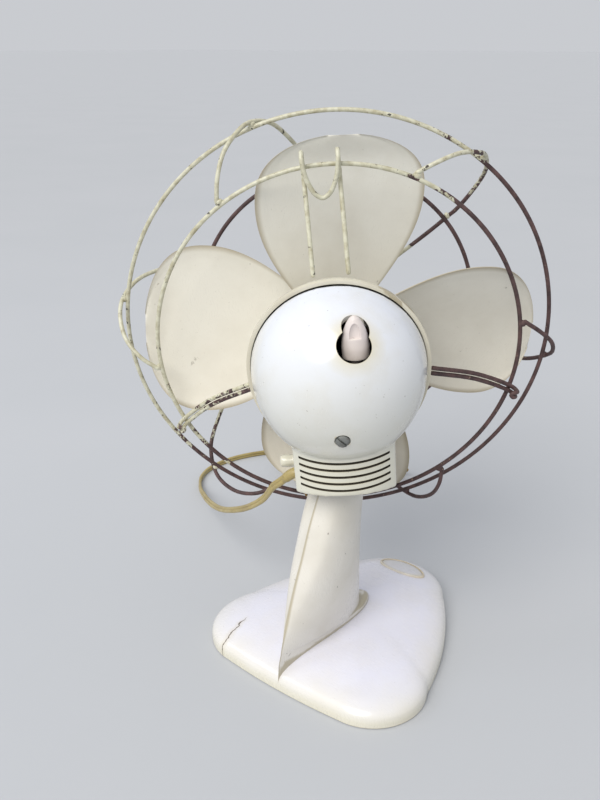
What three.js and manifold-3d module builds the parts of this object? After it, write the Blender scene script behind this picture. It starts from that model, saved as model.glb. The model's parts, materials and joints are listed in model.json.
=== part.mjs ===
// Oscillating desk fan of the 1960s, millimetres, +Z up.
// The origin is the centre of the base on the surface that the fan stands on, and the base points along -Y.
// The head hangs in two nested groups: one tilts on a cross pin in the neck, the other swivels on a post.
// Inside the head group the fan axis is the Y axis, air is blown towards -Y, and X = Z = 0 is the shaft.

import * as THREE from 'three';
import { mergeVertices } from 'three/addons/utils/BufferGeometryUtils.js';
import Module from 'manifold-3d';

const wasm = await Module();
wasm.setup();

// ---------------------------------------------------------------- driving dimensions

const GAP = 0.3;
const degrees = THREE.MathUtils.degToRad;

// base: a triangle with round corners, lying with one side to the rear
const BASE_CORNER = { x: 50, y: 51, radius: 41 };
const BASE_NOSE = { y: -50, radius: 45 };
const BASE_BULGE = { sides: 13, rear: 5 };
const BASE_OUTER = [[0.02, 25.5], [0.25, 25], [0.5, 23.3], [0.72, 20.2], [0.88, 16.3],
  [0.955, 13], [0.99, 9.5], [1, 6], [1, 0.8]];
const BASE_INNER = [[0.97, 0.8], [0.95, 9], [0.86, 13], [0.5, 19.5], [0.02, 22.5]];
const PLATE = { scale: 0.95, bottom: 1.6, top: 3.8, padRadius: 14, padBottom: 1.2 };
const SCREW_HEAD = { bottom: 0.2, top: 1.3 };
const FOOT = { radius: 8, spots: [[58, 58], [-58, 58], [0, -66]] };
const PLATE_SCREW_SPOTS = [[34, 66, 18], [-34, 66, 18], [0, -42, 22]];
const BADGE = { halfLength: 21, halfWidth: 11.5, y: -70, z: 20.5 };

// neck: sections given as height, rear spine, front, half width and bluntness of the rear edge, whose two facets
// open from the spine at the slope below
const NECK_SECTIONS = [
  { z: 6, spine: 94.5, front: -15.5, half: 10.2, blunt: 1.3 },
  { z: 21, spine: 93.5, front: -15, half: 11.5, blunt: 1.2 },
  { z: 27, spine: 91.9, front: -14, half: 12.6, blunt: 1.08 },
  { z: 28.5, spine: 91.4, front: -12, half: 12.6, blunt: 1.05 },
  { z: 30, spine: 91, front: -1, half: 12.9, blunt: 1 },
  { z: 35, spine: 90, front: 0.5, half: 14, blunt: 0.9 },
  { z: 50, spine: 85.5, front: 2.5, half: 16.5, blunt: 0.7 },
  { z: 77, spine: 76, front: 4.5, half: 18, blunt: 0.55 },
  { z: 97, spine: 67.5, front: 5, half: 18.2, blunt: 0.5 },
  { z: 120, spine: 58.5, front: 5, half: 18, blunt: 0.5 },
  { z: 148, spine: 44.5, front: 2, half: 17.5, blunt: 0.5 },
];
const NECK_FACET = 1.75;
const NECK_WALL = 3;
const NECK_HOLLOW = { bottom: 32, top: 96 };
const TIE_BOLT = { y: 36, radius: 3, top: 105 };

// tilt and swivel
const TILT_PIN = { y: 33, z: 130, radius: 3.2, end: 22, blind: -14.5 };
const TILT_AT_REST = degrees(7.5);
const SWIVEL_AT_REST = degrees(37);
const SWIVEL_FORWARD = 18.9;
const HEAD_RISE = 104.7;
const POST = { radius: 4.5, top: -47 };
const PLATFORM = { radius: 17.5, bottom: -76.7, top: -71.7 };
const ANCHOR = { radius: 13.5, pin: 2.4, top: -51.6 };

// housing: rear cover behind the seam, front casing before it
const SEAM_Y = 17;
const DOME = { radius: 57.5, depth: 56, lowerStretch: 64 / 57.5, wall: 2.5 };
const CHIN = { half: 34, arcRadius: 44, rearY: 54, top: -36, rearBottom: -76.5, frontBottom: -88 };
const CHIN_SLOTS = { first: -51, step: 5.2, count: 5, width: 1.8 };
const CASING_OUTER = [[10, -22], [30, -22], [40, -19], [49, -12], [55, -4], [57.5, 5], [58.5, 11.5],
  [60.5, 12.5], [60.5, SEAM_Y - GAP]];
const CASING_INNER = [[58, SEAM_Y - GAP], [56, 11], [55, 5], [52.5, -3], [47, -10], [39, -16.5], [29, -19.5],
  [10, -19.5]];
const SNOUT = { front: -20.5, bottom: -91 };
const SIDE_CAP = { halfX: CHIN.half, length: 11.5, radius: 4.4, y: 6, z: -76 };
const COVER_SCREW = { z: -25, headRear: 70, headRadius: 4.3, seat: 66 };

// motor and gears
const SHAFT = { radius: 4, rearRadius: 2.6, front: -66, rear: 64 };
const WORM = { radius: 4, front: 42 };
const STATOR = { outer: 44, yoke: 36.5, bore: 22.4, front: -8, rear: 12, poleHalf: 7 };
const COIL = { inner: 27, outer: 33.3, halfWidth: 13, wall: 5.5 };
const SPINDLE = { x: -11.4, y: 51, radius: 3, bottom: -36, top: 16.5 };
const WHEEL_RADIUS = 7;
const PINION_RADIUS = 4.9;
const CRANK_GEAR = { x: -2, y: 30.7, radius: 17, top: -32, bottom: -36 };
const CRANK_PIN = { x: 6, y: 34.8, radius: 2.2, bottom: -51.8 };
const LINK = { top: -52.3, bottom: -54.8, half: 1.8 };
const KNOB_HOLE = { radius: 10.6, x: -10.4, y: 60.2, z: 35, lean: degrees(-50), notch: 8.8 };

// cage: three rings, six loops that join them, three supports
const WIRE = 1.5;
const REAR_RING = { radius: 124.3, y: -18 };
const BIG_RING = { radius: 151, y: -50 };
const FRONT_RING = { radius: 102.7, y: -92 };
const LOOP_COUNT = 6;
const SUPPORT_FOOT = { radius: 62.5, y: 10 };
const SUPPORTS = [
  { name: 'top', from: 91, to: 91, half: 11.2, lean: -1, reach: 10, drop: 24, steps: 34 },
  { name: 'left', from: 192.5, to: 204.5, half: 1.9, lean: 1, reach: 5, drop: 3, steps: 28 },
  { name: 'right', from: 351, to: 341, half: 1.9, lean: -1, reach: 5, drop: 3, steps: 28 },
];
const FRONT_DISC = { radius: 24, rear: -96.4, front: -100.4 };

// blades
const BLADE_COUNT = 4;
const BLADE_TIP = 137;
const BLADE_PHASE = degrees(-5);
const BLADE_MIDDLE = -43;
const BLADE_SHAPE = { inner: 12, root: 16, widest: 59, widestAt: 0.66, camber: 5, sections: 9, across: 4 };
const HUB = { radius: 19, rear: -25, front: -58 };

// cord: the free stretch, by hand, from the housing down to the surface and round to the coil
const CORD_WIDTH = 5.5;
const CORD_ROUTE = [
  [24.3, 55.5, 148], [29.7, 55.2, 143], [37, 53.5, 136.5], [52.5, 46.6, 118.5], [77.5, 36.6, 98],
  [111.4, 19.5, 76], [150.6, -5.9, 52.5], [194, -37, 30.6], [230, -65, 14.6], [248, -79.5, 7.4],
  [262, -92, 3.5], [273, -105, 2.9], [280, -122, 2.9], [281, -140, 2.9], [277.5, -160, 2.9],
  [269, -180, 2.9], [256, -199.5, 2.9], [239.5, -217, 2.9], [226, -227.5, 2.9], [211.5, -238.2, 2.9],
];
const COIL_RING = { x: 186, y: -204, radius: 33, height: 16.8, width: 11.5 };
const GLAND = {
  radius: 3.9,
  route: [[28, 17, -79], [33, 17, -79], [36, 17, -79.4], [39.5, 16.9, -81.3], [41.5, 16.8, -82.9]],
};
const PLUG = { x: 140, y: -239.9, turn: -90 };

// ---------------------------------------------------------------- colours

function paint(color, roughness, metalness) {
  return new THREE.MeshStandardMaterial({ color, roughness, metalness });
}

const coolWhite = paint(0xd2d6de, 0.3, 0);
const cream = paint(0xd6d2c0, 0.4, 0);
const ivory = paint(0xcbc8bd, 0.4, 0);
const agedCream = paint(0xc9b8a4, 0.45, 0);
const steel = paint(0x8d8f92, 0.35, 0.9);
const lamination = paint(0x55575c, 0.5, 0.8);
const castMetal = paint(0x6f7276, 0.6, 0.6);
const copper = paint(0xa5603a, 0.4, 0.8);
const brass = paint(0xb08d4a, 0.35, 0.9);
const rubber = paint(0x2b2a28, 0.8, 0);
const wirePaint = paint(0xb9b59c, 0.5, 0.2);
const rustyWire = paint(0x4b3a38, 0.7, 0.4);
const leadPlastic = paint(0xb7a36c, 0.5, 0);
const fibre = paint(0x6b4a2c, 0.7, 0);

// ---------------------------------------------------------------- geometry helpers

function signedVolume(geometry) {
  const position = geometry.attributes.position;
  const index = geometry.index.array;
  const a = new THREE.Vector3();
  const b = new THREE.Vector3();
  const c = new THREE.Vector3();
  let total = 0;
  for (let i = 0; i < index.length; i += 3) {
    a.fromBufferAttribute(position, index[i]);
    b.fromBufferAttribute(position, index[i + 1]);
    c.fromBufferAttribute(position, index[i + 2]);
    total += a.dot(b.cross(c)) / 6;
  }
  return total;
}

// joins shared vertices, drops triangles that have collapsed and turns the faces outwards
function weld(geometry) {
  const bare = new THREE.BufferGeometry();
  bare.setAttribute('position', geometry.attributes.position.clone());
  if (geometry.index) bare.setIndex(geometry.index.clone());
  const merged = mergeVertices(bare, 1e-4);
  const old = merged.index.array;
  const kept = [];
  for (let i = 0; i < old.length; i += 3) {
    const [a, b, c] = [old[i], old[i + 1], old[i + 2]];
    if (a !== b && b !== c && c !== a) kept.push(a, b, c);
  }
  merged.setIndex(kept);
  if (signedVolume(merged) < 0) {
    for (let i = 0; i < kept.length; i += 3) [kept[i], kept[i + 1]] = [kept[i + 1], kept[i]];
    merged.setIndex(kept);
  }
  return merged;
}

function toSolid(geometry) {
  const clean = weld(geometry);
  return new wasm.Manifold(new wasm.Mesh({
    numProp: 3,
    vertProperties: new Float32Array(clean.attributes.position.array),
    triVerts: new Uint32Array(clean.index.array),
  }));
}

function toGeometry(solid) {
  const mesh = solid.getMesh();
  const geometry = new THREE.BufferGeometry();
  geometry.setAttribute('position', new THREE.BufferAttribute(new Float32Array(mesh.vertProperties), 3));
  geometry.setIndex(new THREE.BufferAttribute(new Uint32Array(mesh.triVerts), 1));
  return geometry;
}

function join(...geometries) {
  return toGeometry(geometries.map(toSolid).reduce((whole, piece) => whole.add(piece)));
}

function cut(geometry, ...tools) {
  return toGeometry(tools.map(toSolid).reduce((whole, tool) => whole.subtract(tool), toSolid(geometry)));
}

function box(x0, x1, y0, y1, z0, z1) {
  const geometry = new THREE.BoxGeometry(x1 - x0, y1 - y0, z1 - z0);
  return geometry.translate((x0 + x1) / 2, (y0 + y1) / 2, (z0 + z1) / 2);
}

function rodX(radius, x0, x1, y, z, sides = 20) {
  const geometry = new THREE.CylinderGeometry(radius, radius, x1 - x0, sides);
  return geometry.rotateZ(Math.PI / 2).translate((x0 + x1) / 2, y, z);
}

function rodY(radius, y0, y1, x, z, sides = 20) {
  return new THREE.CylinderGeometry(radius, radius, y1 - y0, sides).translate(x, (y0 + y1) / 2, z);
}

function rodZ(radius, z0, z1, x, y, sides = 20) {
  const geometry = new THREE.CylinderGeometry(radius, radius, z1 - z0, sides);
  return geometry.rotateX(Math.PI / 2).translate(x, y, (z0 + z1) / 2);
}

// profile of [radius, height] pairs, turned about the Y axis and closed on itself
function turnedY(profile, segments = 32) {
  const points = [...profile, profile[0]].map(([r, h]) => new THREE.Vector2(r, h));
  return new THREE.LatheGeometry(points, segments);
}

function turnedZ(profile, segments = 32) {
  return turnedY(profile, segments).rotateX(Math.PI / 2);
}

function sleeveY(inner, outer, y0, y1, sides = 24) {
  return turnedY([[inner, y0], [outer, y0], [outer, y1], [inner, y1]], sides);
}

function sleeveZ(inner, outer, z0, z1, sides = 24) {
  return turnedZ([[inner, z0], [outer, z0], [outer, z1], [inner, z1]], sides);
}

function hexNutY(bore, outer, y0, y1) {
  const blank = turnedY([[0, y0], [outer, y0], [outer, y1], [0, y1]], 6);
  return cut(blank, rodY(bore, y0 - 1, y1 + 1, 0, 0, 16));
}

// a skin through closed loops that all have the same number of points, with a flat cap at each end
function loft(loops) {
  const count = loops[0].length;
  const positions = loops.flat().flatMap((p) => [p.x, p.y, p.z]);
  const faces = [];
  for (let ring = 0; ring + 1 < loops.length; ring += 1) {
    for (let i = 0; i < count; i += 1) {
      const a = ring * count + i;
      const b = ring * count + (i + 1) % count;
      faces.push(a, b, b + count, a, b + count, a + count);
    }
  }
  const last = (loops.length - 1) * count;
  for (let i = 1; i + 1 < count; i += 1) {
    faces.push(0, i + 1, i);
    faces.push(last, last + i, last + i + 1);
  }
  const geometry = new THREE.BufferGeometry();
  geometry.setAttribute('position', new THREE.Float32BufferAttribute(positions, 3));
  geometry.setIndex(faces);
  return geometry;
}

// a round bar of few sides along a smooth curve through the points
function bar(points, radius, steps, sides = 6) {
  const section = new THREE.Shape();
  for (let i = 0; i < sides; i += 1) {
    const angle = (2 * Math.PI * i) / sides;
    const place = [radius * Math.cos(angle), radius * Math.sin(angle)];
    if (i === 0) section.moveTo(...place);
    else section.lineTo(...place);
  }
  const curve = new THREE.CatmullRomCurve3(points.map((p) => new THREE.Vector3(...p)), false, 'centripetal');
  return new THREE.ExtrudeGeometry(section, { steps, extrudePath: curve, bevelEnabled: false });
}

// a flat outline in the YZ plane, as thick as given along X
function plateX(outline, half) {
  const shape = new THREE.Shape(outline.map(([y, z]) => new THREE.Vector2(y, z)));
  const geometry = new THREE.ExtrudeGeometry(shape, { depth: 2 * half, bevelEnabled: false });
  const axes = new THREE.Matrix4().makeBasis(
    new THREE.Vector3(0, 1, 0),
    new THREE.Vector3(0, 0, 1),
    new THREE.Vector3(1, 0, 0),
  );
  return geometry.applyMatrix4(axes).translate(-half, 0, 0);
}

function plateZ(shape, z0, z1, curveSegments = 12) {
  const options = { depth: z1 - z0, bevelEnabled: false, curveSegments };
  return new THREE.ExtrudeGeometry(shape, options).translate(0, 0, z0);
}

// a point of the cage: the angle runs from the right to the top as the fan is seen from behind
function around(angle, radius, y) {
  return [-radius * Math.cos(degrees(angle)), y, radius * Math.sin(degrees(angle))];
}

function add(parent, name, geometry, material) {
  const mesh = new THREE.Mesh(weld(geometry), material);
  mesh.name = name;
  parent.add(mesh);
}

// ---------------------------------------------------------------- base

function baseOutline() {
  const { x, y, radius } = BASE_CORNER;
  const nose = BASE_NOSE;
  const run = Math.hypot(x, nose.y - y);
  const lean = Math.atan2(y - nose.y, x);
  const normal = lean - Math.PI / 2 - Math.asin((nose.radius - radius) / run);
  const [cos, sin] = [Math.cos(normal), Math.sin(normal)];
  const cornerEnd = [x + radius * cos, y + radius * sin];
  const noseEnd = [nose.radius * cos, nose.y + nose.radius * sin];
  const bulge = [
    (cornerEnd[0] + noseEnd[0]) / 2 + BASE_BULGE.sides * cos,
    (cornerEnd[1] + noseEnd[1]) / 2 + BASE_BULGE.sides * sin,
  ];
  const shape = new THREE.Shape();
  shape.moveTo(...cornerEnd);
  shape.absarc(x, y, radius, normal, Math.PI / 2);
  shape.quadraticCurveTo(0, y + radius + BASE_BULGE.rear, -x, y + radius);
  shape.absarc(-x, y, radius, Math.PI / 2, Math.PI - normal);
  shape.quadraticCurveTo(-bulge[0], bulge[1], -noseEnd[0], noseEnd[1]);
  shape.absarc(0, nose.y, nose.radius, Math.PI - normal, 2 * Math.PI + normal);
  shape.quadraticCurveTo(bulge[0], bulge[1], ...cornerEnd);
  return shape.getPoints(6).filter((p, i, all) => i === 0 || p.distanceTo(all[i - 1]) > 0.5)
    .filter((p, i, all) => i === 0 || p.distanceTo(all[0]) > 0.5);
}

function baseLoops(profile, lift = 0) {
  const outline = baseOutline();
  const ring = (scale, z) => outline.map((p) => new THREE.Vector3(p.x * scale, p.y * scale, z + lift));
  return profile.map(([scale, z]) => ring(scale, z));
}

function basePlug(lift) {
  return loft([...baseLoops(BASE_OUTER, lift), ...baseLoops([[1, -20]])]);
}

function makeBase(parent) {
  const shell = loft([...baseLoops(BASE_OUTER), ...baseLoops(BASE_INNER)]);
  const bosses = PLATE_SCREW_SPOTS.map(([x, y, top]) => rodZ(5, 6, top, x, y, 16));
  const bores = PLATE_SCREW_SPOTS.map(([x, y]) => rodZ(2, 4, 14, x, y, 12));
  add(parent, 'base_shell', cut(join(shell, ...bosses), ...bores, rodZ(4, 10, 30, 0, TIE_BOLT.y)), coolWhite);

  const plateShape = new THREE.Shape(baseOutline().map((p) => p.clone().multiplyScalar(PLATE.scale)));
  const plateHoles = [...PLATE_SCREW_SPOTS.map(([x, y]) => [x, y, 2]), [0, TIE_BOLT.y, TIE_BOLT.radius + 0.4]]
    .map(([x, y, radius]) => rodZ(radius, PLATE.bottom - 1, PLATE.top + 1, x, y, 14));
  const pad = rodZ(PLATE.padRadius, PLATE.padBottom, PLATE.top, 0, 0, 32);
  add(parent, 'base_plate', cut(join(plateZ(plateShape, PLATE.bottom, PLATE.top), pad), ...plateHoles), steel);
  FOOT.spots.forEach(([x, y], i) => {
    add(parent, `foot_${i + 1}`, rodZ(FOOT.radius, 0, PLATE.bottom - GAP, x, y, 24), rubber);
  });
  PLATE_SCREW_SPOTS.forEach(([x, y], i) => {
    const { bottom, top } = SCREW_HEAD;
    const screw = turnedZ([[0, bottom], [3.4, bottom], [3.4, top], [1.6, top], [1.6, 12.5], [0, 12.5]], 12);
    add(parent, `base_screw_${i + 1}`, screw.translate(x, y, 0), steel);
  });

  const { halfLength, halfWidth, y, z } = BADGE;
  const badge = turnedZ([[0, -10], [halfLength, -10], [halfLength, 0.6], [0.93 * halfLength, 1.6],
    [0.6 * halfLength, 2.6], [0, 3]], 32);
  badge.scale(1, halfWidth / halfLength, 1).translate(0, y, z);
  add(parent, 'base_badge', cut(badge, basePlug(GAP)), ivory);
}

// ---------------------------------------------------------------- neck

function neckLoop({ z, spine, front, half, blunt }, wall = 0) {
  const steps = 8;
  const length = spine - front;
  const peak = blunt / (blunt + 0.5);
  const top = peak ** blunt * (1 - peak) ** 0.5;
  const side = [];
  for (let i = 0; i <= steps; i += 1) {
    const t = (1 - Math.cos((Math.PI * i) / steps)) / 2;
    const round = (half - wall) * (t ** blunt * (1 - t) ** 0.5) / top;
    const width = Math.min(round, NECK_FACET * length * t);
    side.push([width, spine - 2 * wall - (length - 3 * wall) * t]);
  }
  const left = side.map(([x, y]) => new THREE.Vector3(x, y, z));
  const right = side.slice(1, -1).reverse().map(([x, y]) => new THREE.Vector3(-x, y, z));
  return [...left, ...right];
}

function makeNeck(parent) {
  const outer = loft(NECK_SECTIONS.map((section) => neckLoop(section)));
  const hollow = NECK_SECTIONS.filter(({ z }) => z > NECK_HOLLOW.bottom && z < NECK_HOLLOW.top)
    .map((section) => neckLoop(section, NECK_WALL));
  hollow[0].forEach((p) => { p.z = -1; });
  const slot = plateX([[-20, 119], [45, 119], [41.5, 138], [36, 150], [36, 160], [-20, 160]], 7.6);
  const bolt = rodZ(TIE_BOLT.radius + 0.4, 60, TIE_BOLT.top + 1, 0, TIE_BOLT.y);
  const pinHole = rodX(TILT_PIN.radius + GAP, TILT_PIN.blind - GAP, 30, TILT_PIN.y, TILT_PIN.z);
  add(parent, 'neck_column', cut(outer, loft(hollow), slot, bolt, pinHole, basePlug(GAP)), ivory);

  const { bottom, top } = SCREW_HEAD;
  const rod = turnedZ([[0, bottom], [5.5, bottom], [5.5, top], [TIE_BOLT.radius, top],
    [TIE_BOLT.radius, TIE_BOLT.top], [0, TIE_BOLT.top]], 16);
  add(parent, 'neck_tie_bolt', rod.translate(0, TIE_BOLT.y, 0), steel);

  const { radius, end, blind, y, z } = TILT_PIN;
  const pin = turnedY([[0, blind], [radius, blind], [radius, end - 3], [4.6, end - 3], [4.6, end - 1],
    [3.4, end], [0, end]], 20);
  add(parent, 'tilt_pin', pin.rotateZ(-Math.PI / 2).translate(0, y, z), brass);
}

// ---------------------------------------------------------------- tilting knuckle

function makeKnuckle(parent) {
  const barrel = rodX(7.5, -7, 7, 0, 0, 20);
  const arm = plateX([[-7, 0], [-29, 24], [-29, 28.5], [-9, 28.5], [-6, 18], [2, 7], [6, 0], [0, -5]], 6.5);
  const lift = HEAD_RISE;
  const platform = rodZ(PLATFORM.radius, PLATFORM.bottom + lift, PLATFORM.top + lift, 0, -SWIVEL_FORWARD, 32);
  const bore = rodX(TILT_PIN.radius + GAP, -20, 20, 0, 0);
  const socket = rodZ(POST.radius, PLATFORM.bottom + lift + 1.5, 40, 0, -SWIVEL_FORWARD);
  const anchor = rodZ(ANCHOR.pin - GAP, PLATFORM.top + lift - 1, ANCHOR.top + lift,
    -ANCHOR.radius, -SWIVEL_FORWARD, 16);
  add(parent, 'tilt_knuckle', cut(join(barrel, arm, platform, anchor), bore, socket), castMetal);
  add(parent, 'swivel_post', rodZ(POST.radius - GAP, PLATFORM.bottom + lift + 2, POST.top + lift,
    0, -SWIVEL_FORWARD), steel);
}

// link bar, drawn in the head's axes at rest; its open end lies under the crank pin
function makeLink(parent) {
  const anchor = new THREE.Vector2(-ANCHOR.radius, 0).rotateAround(new THREE.Vector2(), -SWIVEL_AT_REST);
  const pin = new THREE.Vector2(CRANK_PIN.x, CRANK_PIN.y);
  const length = pin.distanceTo(anchor);
  const blank = join(
    box(-LINK.half, LINK.half, 0, length, LINK.bottom, LINK.top),
    rodZ(4.2, LINK.bottom, LINK.top, 0, 0),
    rodZ(4.2, LINK.bottom, LINK.top, 0, length),
  );
  const drilled = cut(
    blank,
    rodZ(ANCHOR.pin + GAP, LINK.bottom - 1, LINK.top + 1, 0, 0, 16),
    rodZ(CRANK_PIN.radius + GAP, LINK.bottom - 1, LINK.top + 1, 0, length, 16),
  );
  const turn = Math.atan2(pin.y - anchor.y, pin.x - anchor.x) - Math.PI / 2;
  add(parent, 'link_bar', drilled.rotateZ(turn).translate(anchor.x, anchor.y, 0), steel);
}

// ---------------------------------------------------------------- housing

// the lower half of the housing is a little deeper than the upper half
function stretchDown(geometry) {
  const position = geometry.attributes.position;
  for (let i = 0; i < position.count; i += 1) {
    const z = position.getZ(i);
    if (z < 0) position.setZ(i, z * DOME.lowerStretch);
  }
  return geometry;
}

function domeSolid(wall) {
  const points = [[0, SEAM_Y]];
  const steps = 8;
  for (let i = 0; i <= steps; i += 1) {
    const angle = (Math.PI / 2) * (i / steps);
    const radius = i === steps ? 0 : (DOME.radius - wall) * Math.cos(angle);
    points.push([radius, SEAM_Y + (DOME.depth - wall) * Math.sin(angle)]);
  }
  return stretchDown(turnedY(points, 30));
}

function chinShape(wall, front) {
  const half = CHIN.half - wall;
  const radius = CHIN.arcRadius - wall;
  const centre = CHIN.rearY - CHIN.arcRadius;
  const sweep = Math.asin(half / radius);
  const shape = new THREE.Shape();
  shape.moveTo(half, front);
  shape.absarc(0, centre, radius, Math.PI / 2 - sweep, Math.PI / 2 + sweep);
  shape.lineTo(-half, front);
  return shape;
}

function makeRearCover(parent) {
  const chinOuter = plateZ(chinShape(0, SEAM_Y), -100, CHIN.top, 10);
  const chinInner = plateZ(chinShape(DOME.wall, SEAM_Y - 5), -101, CHIN.top, 10);
  const domeInner = domeSolid(DOME.wall).translate(0, -GAP, 0);
  const skinFiller = rodY(48, SEAM_Y - 5, SEAM_Y + 1, 0, 0, 24);
  const below = plateX([[SEAM_Y - 5, CHIN.frontBottom], [SEAM_Y, CHIN.frontBottom], [CHIN.rearY + 6,
    CHIN.rearBottom + 2], [CHIN.rearY + 6, -120], [SEAM_Y - 5, -120]], 60);
  const slots = [];
  for (let i = 0; i < CHIN_SLOTS.count; i += 1) {
    const z = CHIN_SLOTS.first - i * CHIN_SLOTS.step;
    const outer = chinShape(-3, 30);
    const inner = chinShape(DOME.wall + 2, 10);
    const band = cut(plateZ(outer, z - CHIN_SLOTS.width / 2, z + CHIN_SLOTS.width / 2, 6),
      plateZ(inner, z - 2, z + 2, 6));
    const ends = [box(CHIN.half - 4, 60, 0, 80, z - 3, z + 3), box(-60, 4 - CHIN.half, 0, 80, z - 3, z + 3)];
    slots.push(cut(band, ...ends));
  }
  const boss = rodY(6.2, SEAM_Y + 40, COVER_SCREW.seat, 0, COVER_SCREW.z, 20);
  const counterbore = rodY(COVER_SCREW.headRadius + 0.8, COVER_SCREW.seat, 90, 0, COVER_SCREW.z, 24);
  const screwHole = rodY(2.6, SEAM_Y + 20, 90, 0, COVER_SCREW.z, 14);
  const knobHole = join(
    rodZ(KNOB_HOLE.radius, -14, 20, 0, 0, 32).rotateX(KNOB_HOLE.lean).translate(KNOB_HOLE.x, KNOB_HOLE.y, KNOB_HOLE.z),
    rodZ(KNOB_HOLE.notch, 28, 80, SPINDLE.x, SPINDLE.y, 32),
  );
  const cordHole = rodX(4.6, 20, 50, SEAM_Y, -79, 16);
  const hollowed = cut(join(domeSolid(0), chinOuter), domeInner, chinInner, skinFiller, below);
  const cover = cut(join(hollowed, boss), counterbore, screwHole, knobHole, cordHole, ...slots);
  add(parent, 'rear_cover', cover, coolWhite);

  const { headRear, headRadius, seat, z } = COVER_SCREW;
  const screw = turnedY([[0, 24], [2, 24], [2, seat + GAP], [headRadius, seat + GAP], [headRadius, headRear - 0.8],
    [headRadius - 0.8, headRear], [0, headRear]], 20).translate(0, 0, z);
  const driverSlot = box(-0.6, 0.6, headRear - 1.3, headRear + 1, -6, 6).rotateY(degrees(44)).translate(0, 0, z);
  add(parent, 'cover_screw', cut(screw, driverSlot), steel);
}

function makeFrontCasing(parent) {
  const bowl = stretchDown(turnedY([...CASING_OUTER, ...CASING_INNER], 30));
  const core = stretchDown(turnedY([[0, SEAM_Y + 2], ...[...CASING_INNER].map(([r, y]) => [r, y === SEAM_Y - GAP
    ? SEAM_Y + 2 : y]), [0, -19.5]], 30));
  const corner = 8;
  const footprint = (inset, rear) => {
    const half = CHIN.half - inset;
    const front = SNOUT.front + inset;
    const shape = new THREE.Shape();
    shape.moveTo(half, rear);
    shape.lineTo(-half, rear);
    shape.lineTo(-half, front + corner);
    shape.quadraticCurveTo(-half, front, corner - half, front);
    shape.lineTo(half - corner, front);
    shape.quadraticCurveTo(half, front, half, front + corner);
    return shape;
  };
  const snoutOuter = plateZ(footprint(0, SEAM_Y - GAP), SNOUT.bottom, -38, 5);
  const snoutInner = plateZ(footprint(DOME.wall, SEAM_Y + 2), SNOUT.bottom - 5, -37, 5);
  const shaftHole = rodY(9, -30, -15, 0, 0, 24);
  const cordHole = rodX(4.6, 20, 50, SEAM_Y, -79, 16);
  const body = cut(join(bowl, cut(snoutOuter, core)), cut(snoutInner, box(-60, 60, -40, -19.5, -45, -30)));
  add(parent, 'front_casing', cut(body, shaftHole, cordHole), cream);
}

// ---------------------------------------------------------------- motor

function makeStator(parent) {
  const { outer, yoke, bore, front, rear, poleHalf } = STATOR;
  let core = sleeveY(yoke, outer, front, rear, 28);
  const shoes = sleeveY(bore, bore + 3.6, front, rear, 28);
  for (let i = 0; i < 4; i += 1) {
    const pole = box(-poleHalf, poleHalf, front, rear, bore + 1, yoke + 1).rotateY(degrees(45 + 90 * i));
    core = join(core, pole);
    const coil = cut(
      box(-COIL.halfWidth, COIL.halfWidth, front - COIL.wall, rear + COIL.wall, COIL.inner, COIL.outer),
      box(-poleHalf - GAP, poleHalf + GAP, front - GAP, rear + GAP, 20, 40),
    );
    add(parent, `stator_coil_${i + 1}`, coil.rotateY(degrees(45 + 90 * i)), copper);
  }
  const gaps = [0, 1, 2, 3].map((i) => box(-3, 3, front - 1, rear + 1, bore - 3, yoke - 2).rotateY(degrees(90 * i)));
  add(parent, 'stator_core', join(core, cut(shoes, ...gaps)), lamination);

  const strapHoles = (y0, y1) => rodY(8 + GAP, y0, y1, 0, 0, 24);
  const frontStrap = join(
    rodY(12, -17.8, -14.8, 0, 0, 24),
    box(-32, 32, -17.8, -14.8, -7, 7),
    ...[-30.5, 30.5].map((x) => box(x - 1.5, x + 1.5, -17.8, -9, -7, 7)),
    ...[-35, 35].map((x) => box(x - 6, x + 6, -11.5, front - GAP, -7, 7)),
  );
  add(parent, 'front_bearing_bracket', cut(frontStrap, strapHoles(-25, -10)), castMetal);
  const rearStrap = join(
    rodY(12, 19, 22, 0, 0, 24),
    box(-40, 40, 19, 22, -7, 7),
    ...[-38, 38].map((x) => box(x - 2, x + 2, rear + GAP, 20, -7, 7)),
  );
  add(parent, 'rear_bearing_bracket', cut(rearStrap, strapHoles(15, 30)), castMetal);
  add(parent, 'front_bearing', sleeveY(SHAFT.radius + GAP, 8, -18.4, -13.5, 16), brass);
  add(parent, 'rear_bearing', sleeveY(SHAFT.radius + GAP, 8, 17, 22.5, 16), brass);
}

function makeGearFrame(parent) {
  const { x, y } = SPINDLE;
  const lower = join(box(-20, 16, 23, 55.5, -31, -28.5), box(-20, 16, 22.3, 25, -31, -9.5));
  const lowerHoles = [
    rodZ(SPINDLE.radius + GAP, -40, -20, x, y),
    rodZ(3 + GAP, -40, -20, CRANK_GEAR.x, CRANK_GEAR.y),
    rodY(2.4, 20, 30, 0, COVER_SCREW.z),
    box(4, 30, 46, 70, -40, -20),
  ];
  add(parent, 'gear_frame_lower', cut(lower, ...lowerHoles), castMetal);
  const upper = join(box(-18, 6, 23, 55.5, 11, 13.5), box(-18, 6, 22.3, 25, 9.5, 13.5));
  add(parent, 'gear_frame_upper', cut(upper, rodZ(SPINDLE.radius + GAP, 5, 20, x, y)), castMetal);

  const sleeve = sleeveZ(POST.radius + GAP, 9, -51.8, -47);
  const plate = cut(box(-31.2, 31.2, -9.5, 10, -49, -46.5), rodZ(8.5, -52, -40, 0, 0));
  const flanges = [-1, 1].map((side) => box(side * 30 - 1.2, side * 30 + 1.2, -9.5, 10, -60, -46.5));
  add(parent, 'swivel_bracket', join(plate, sleeve, ...flanges), castMetal);
}

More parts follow.
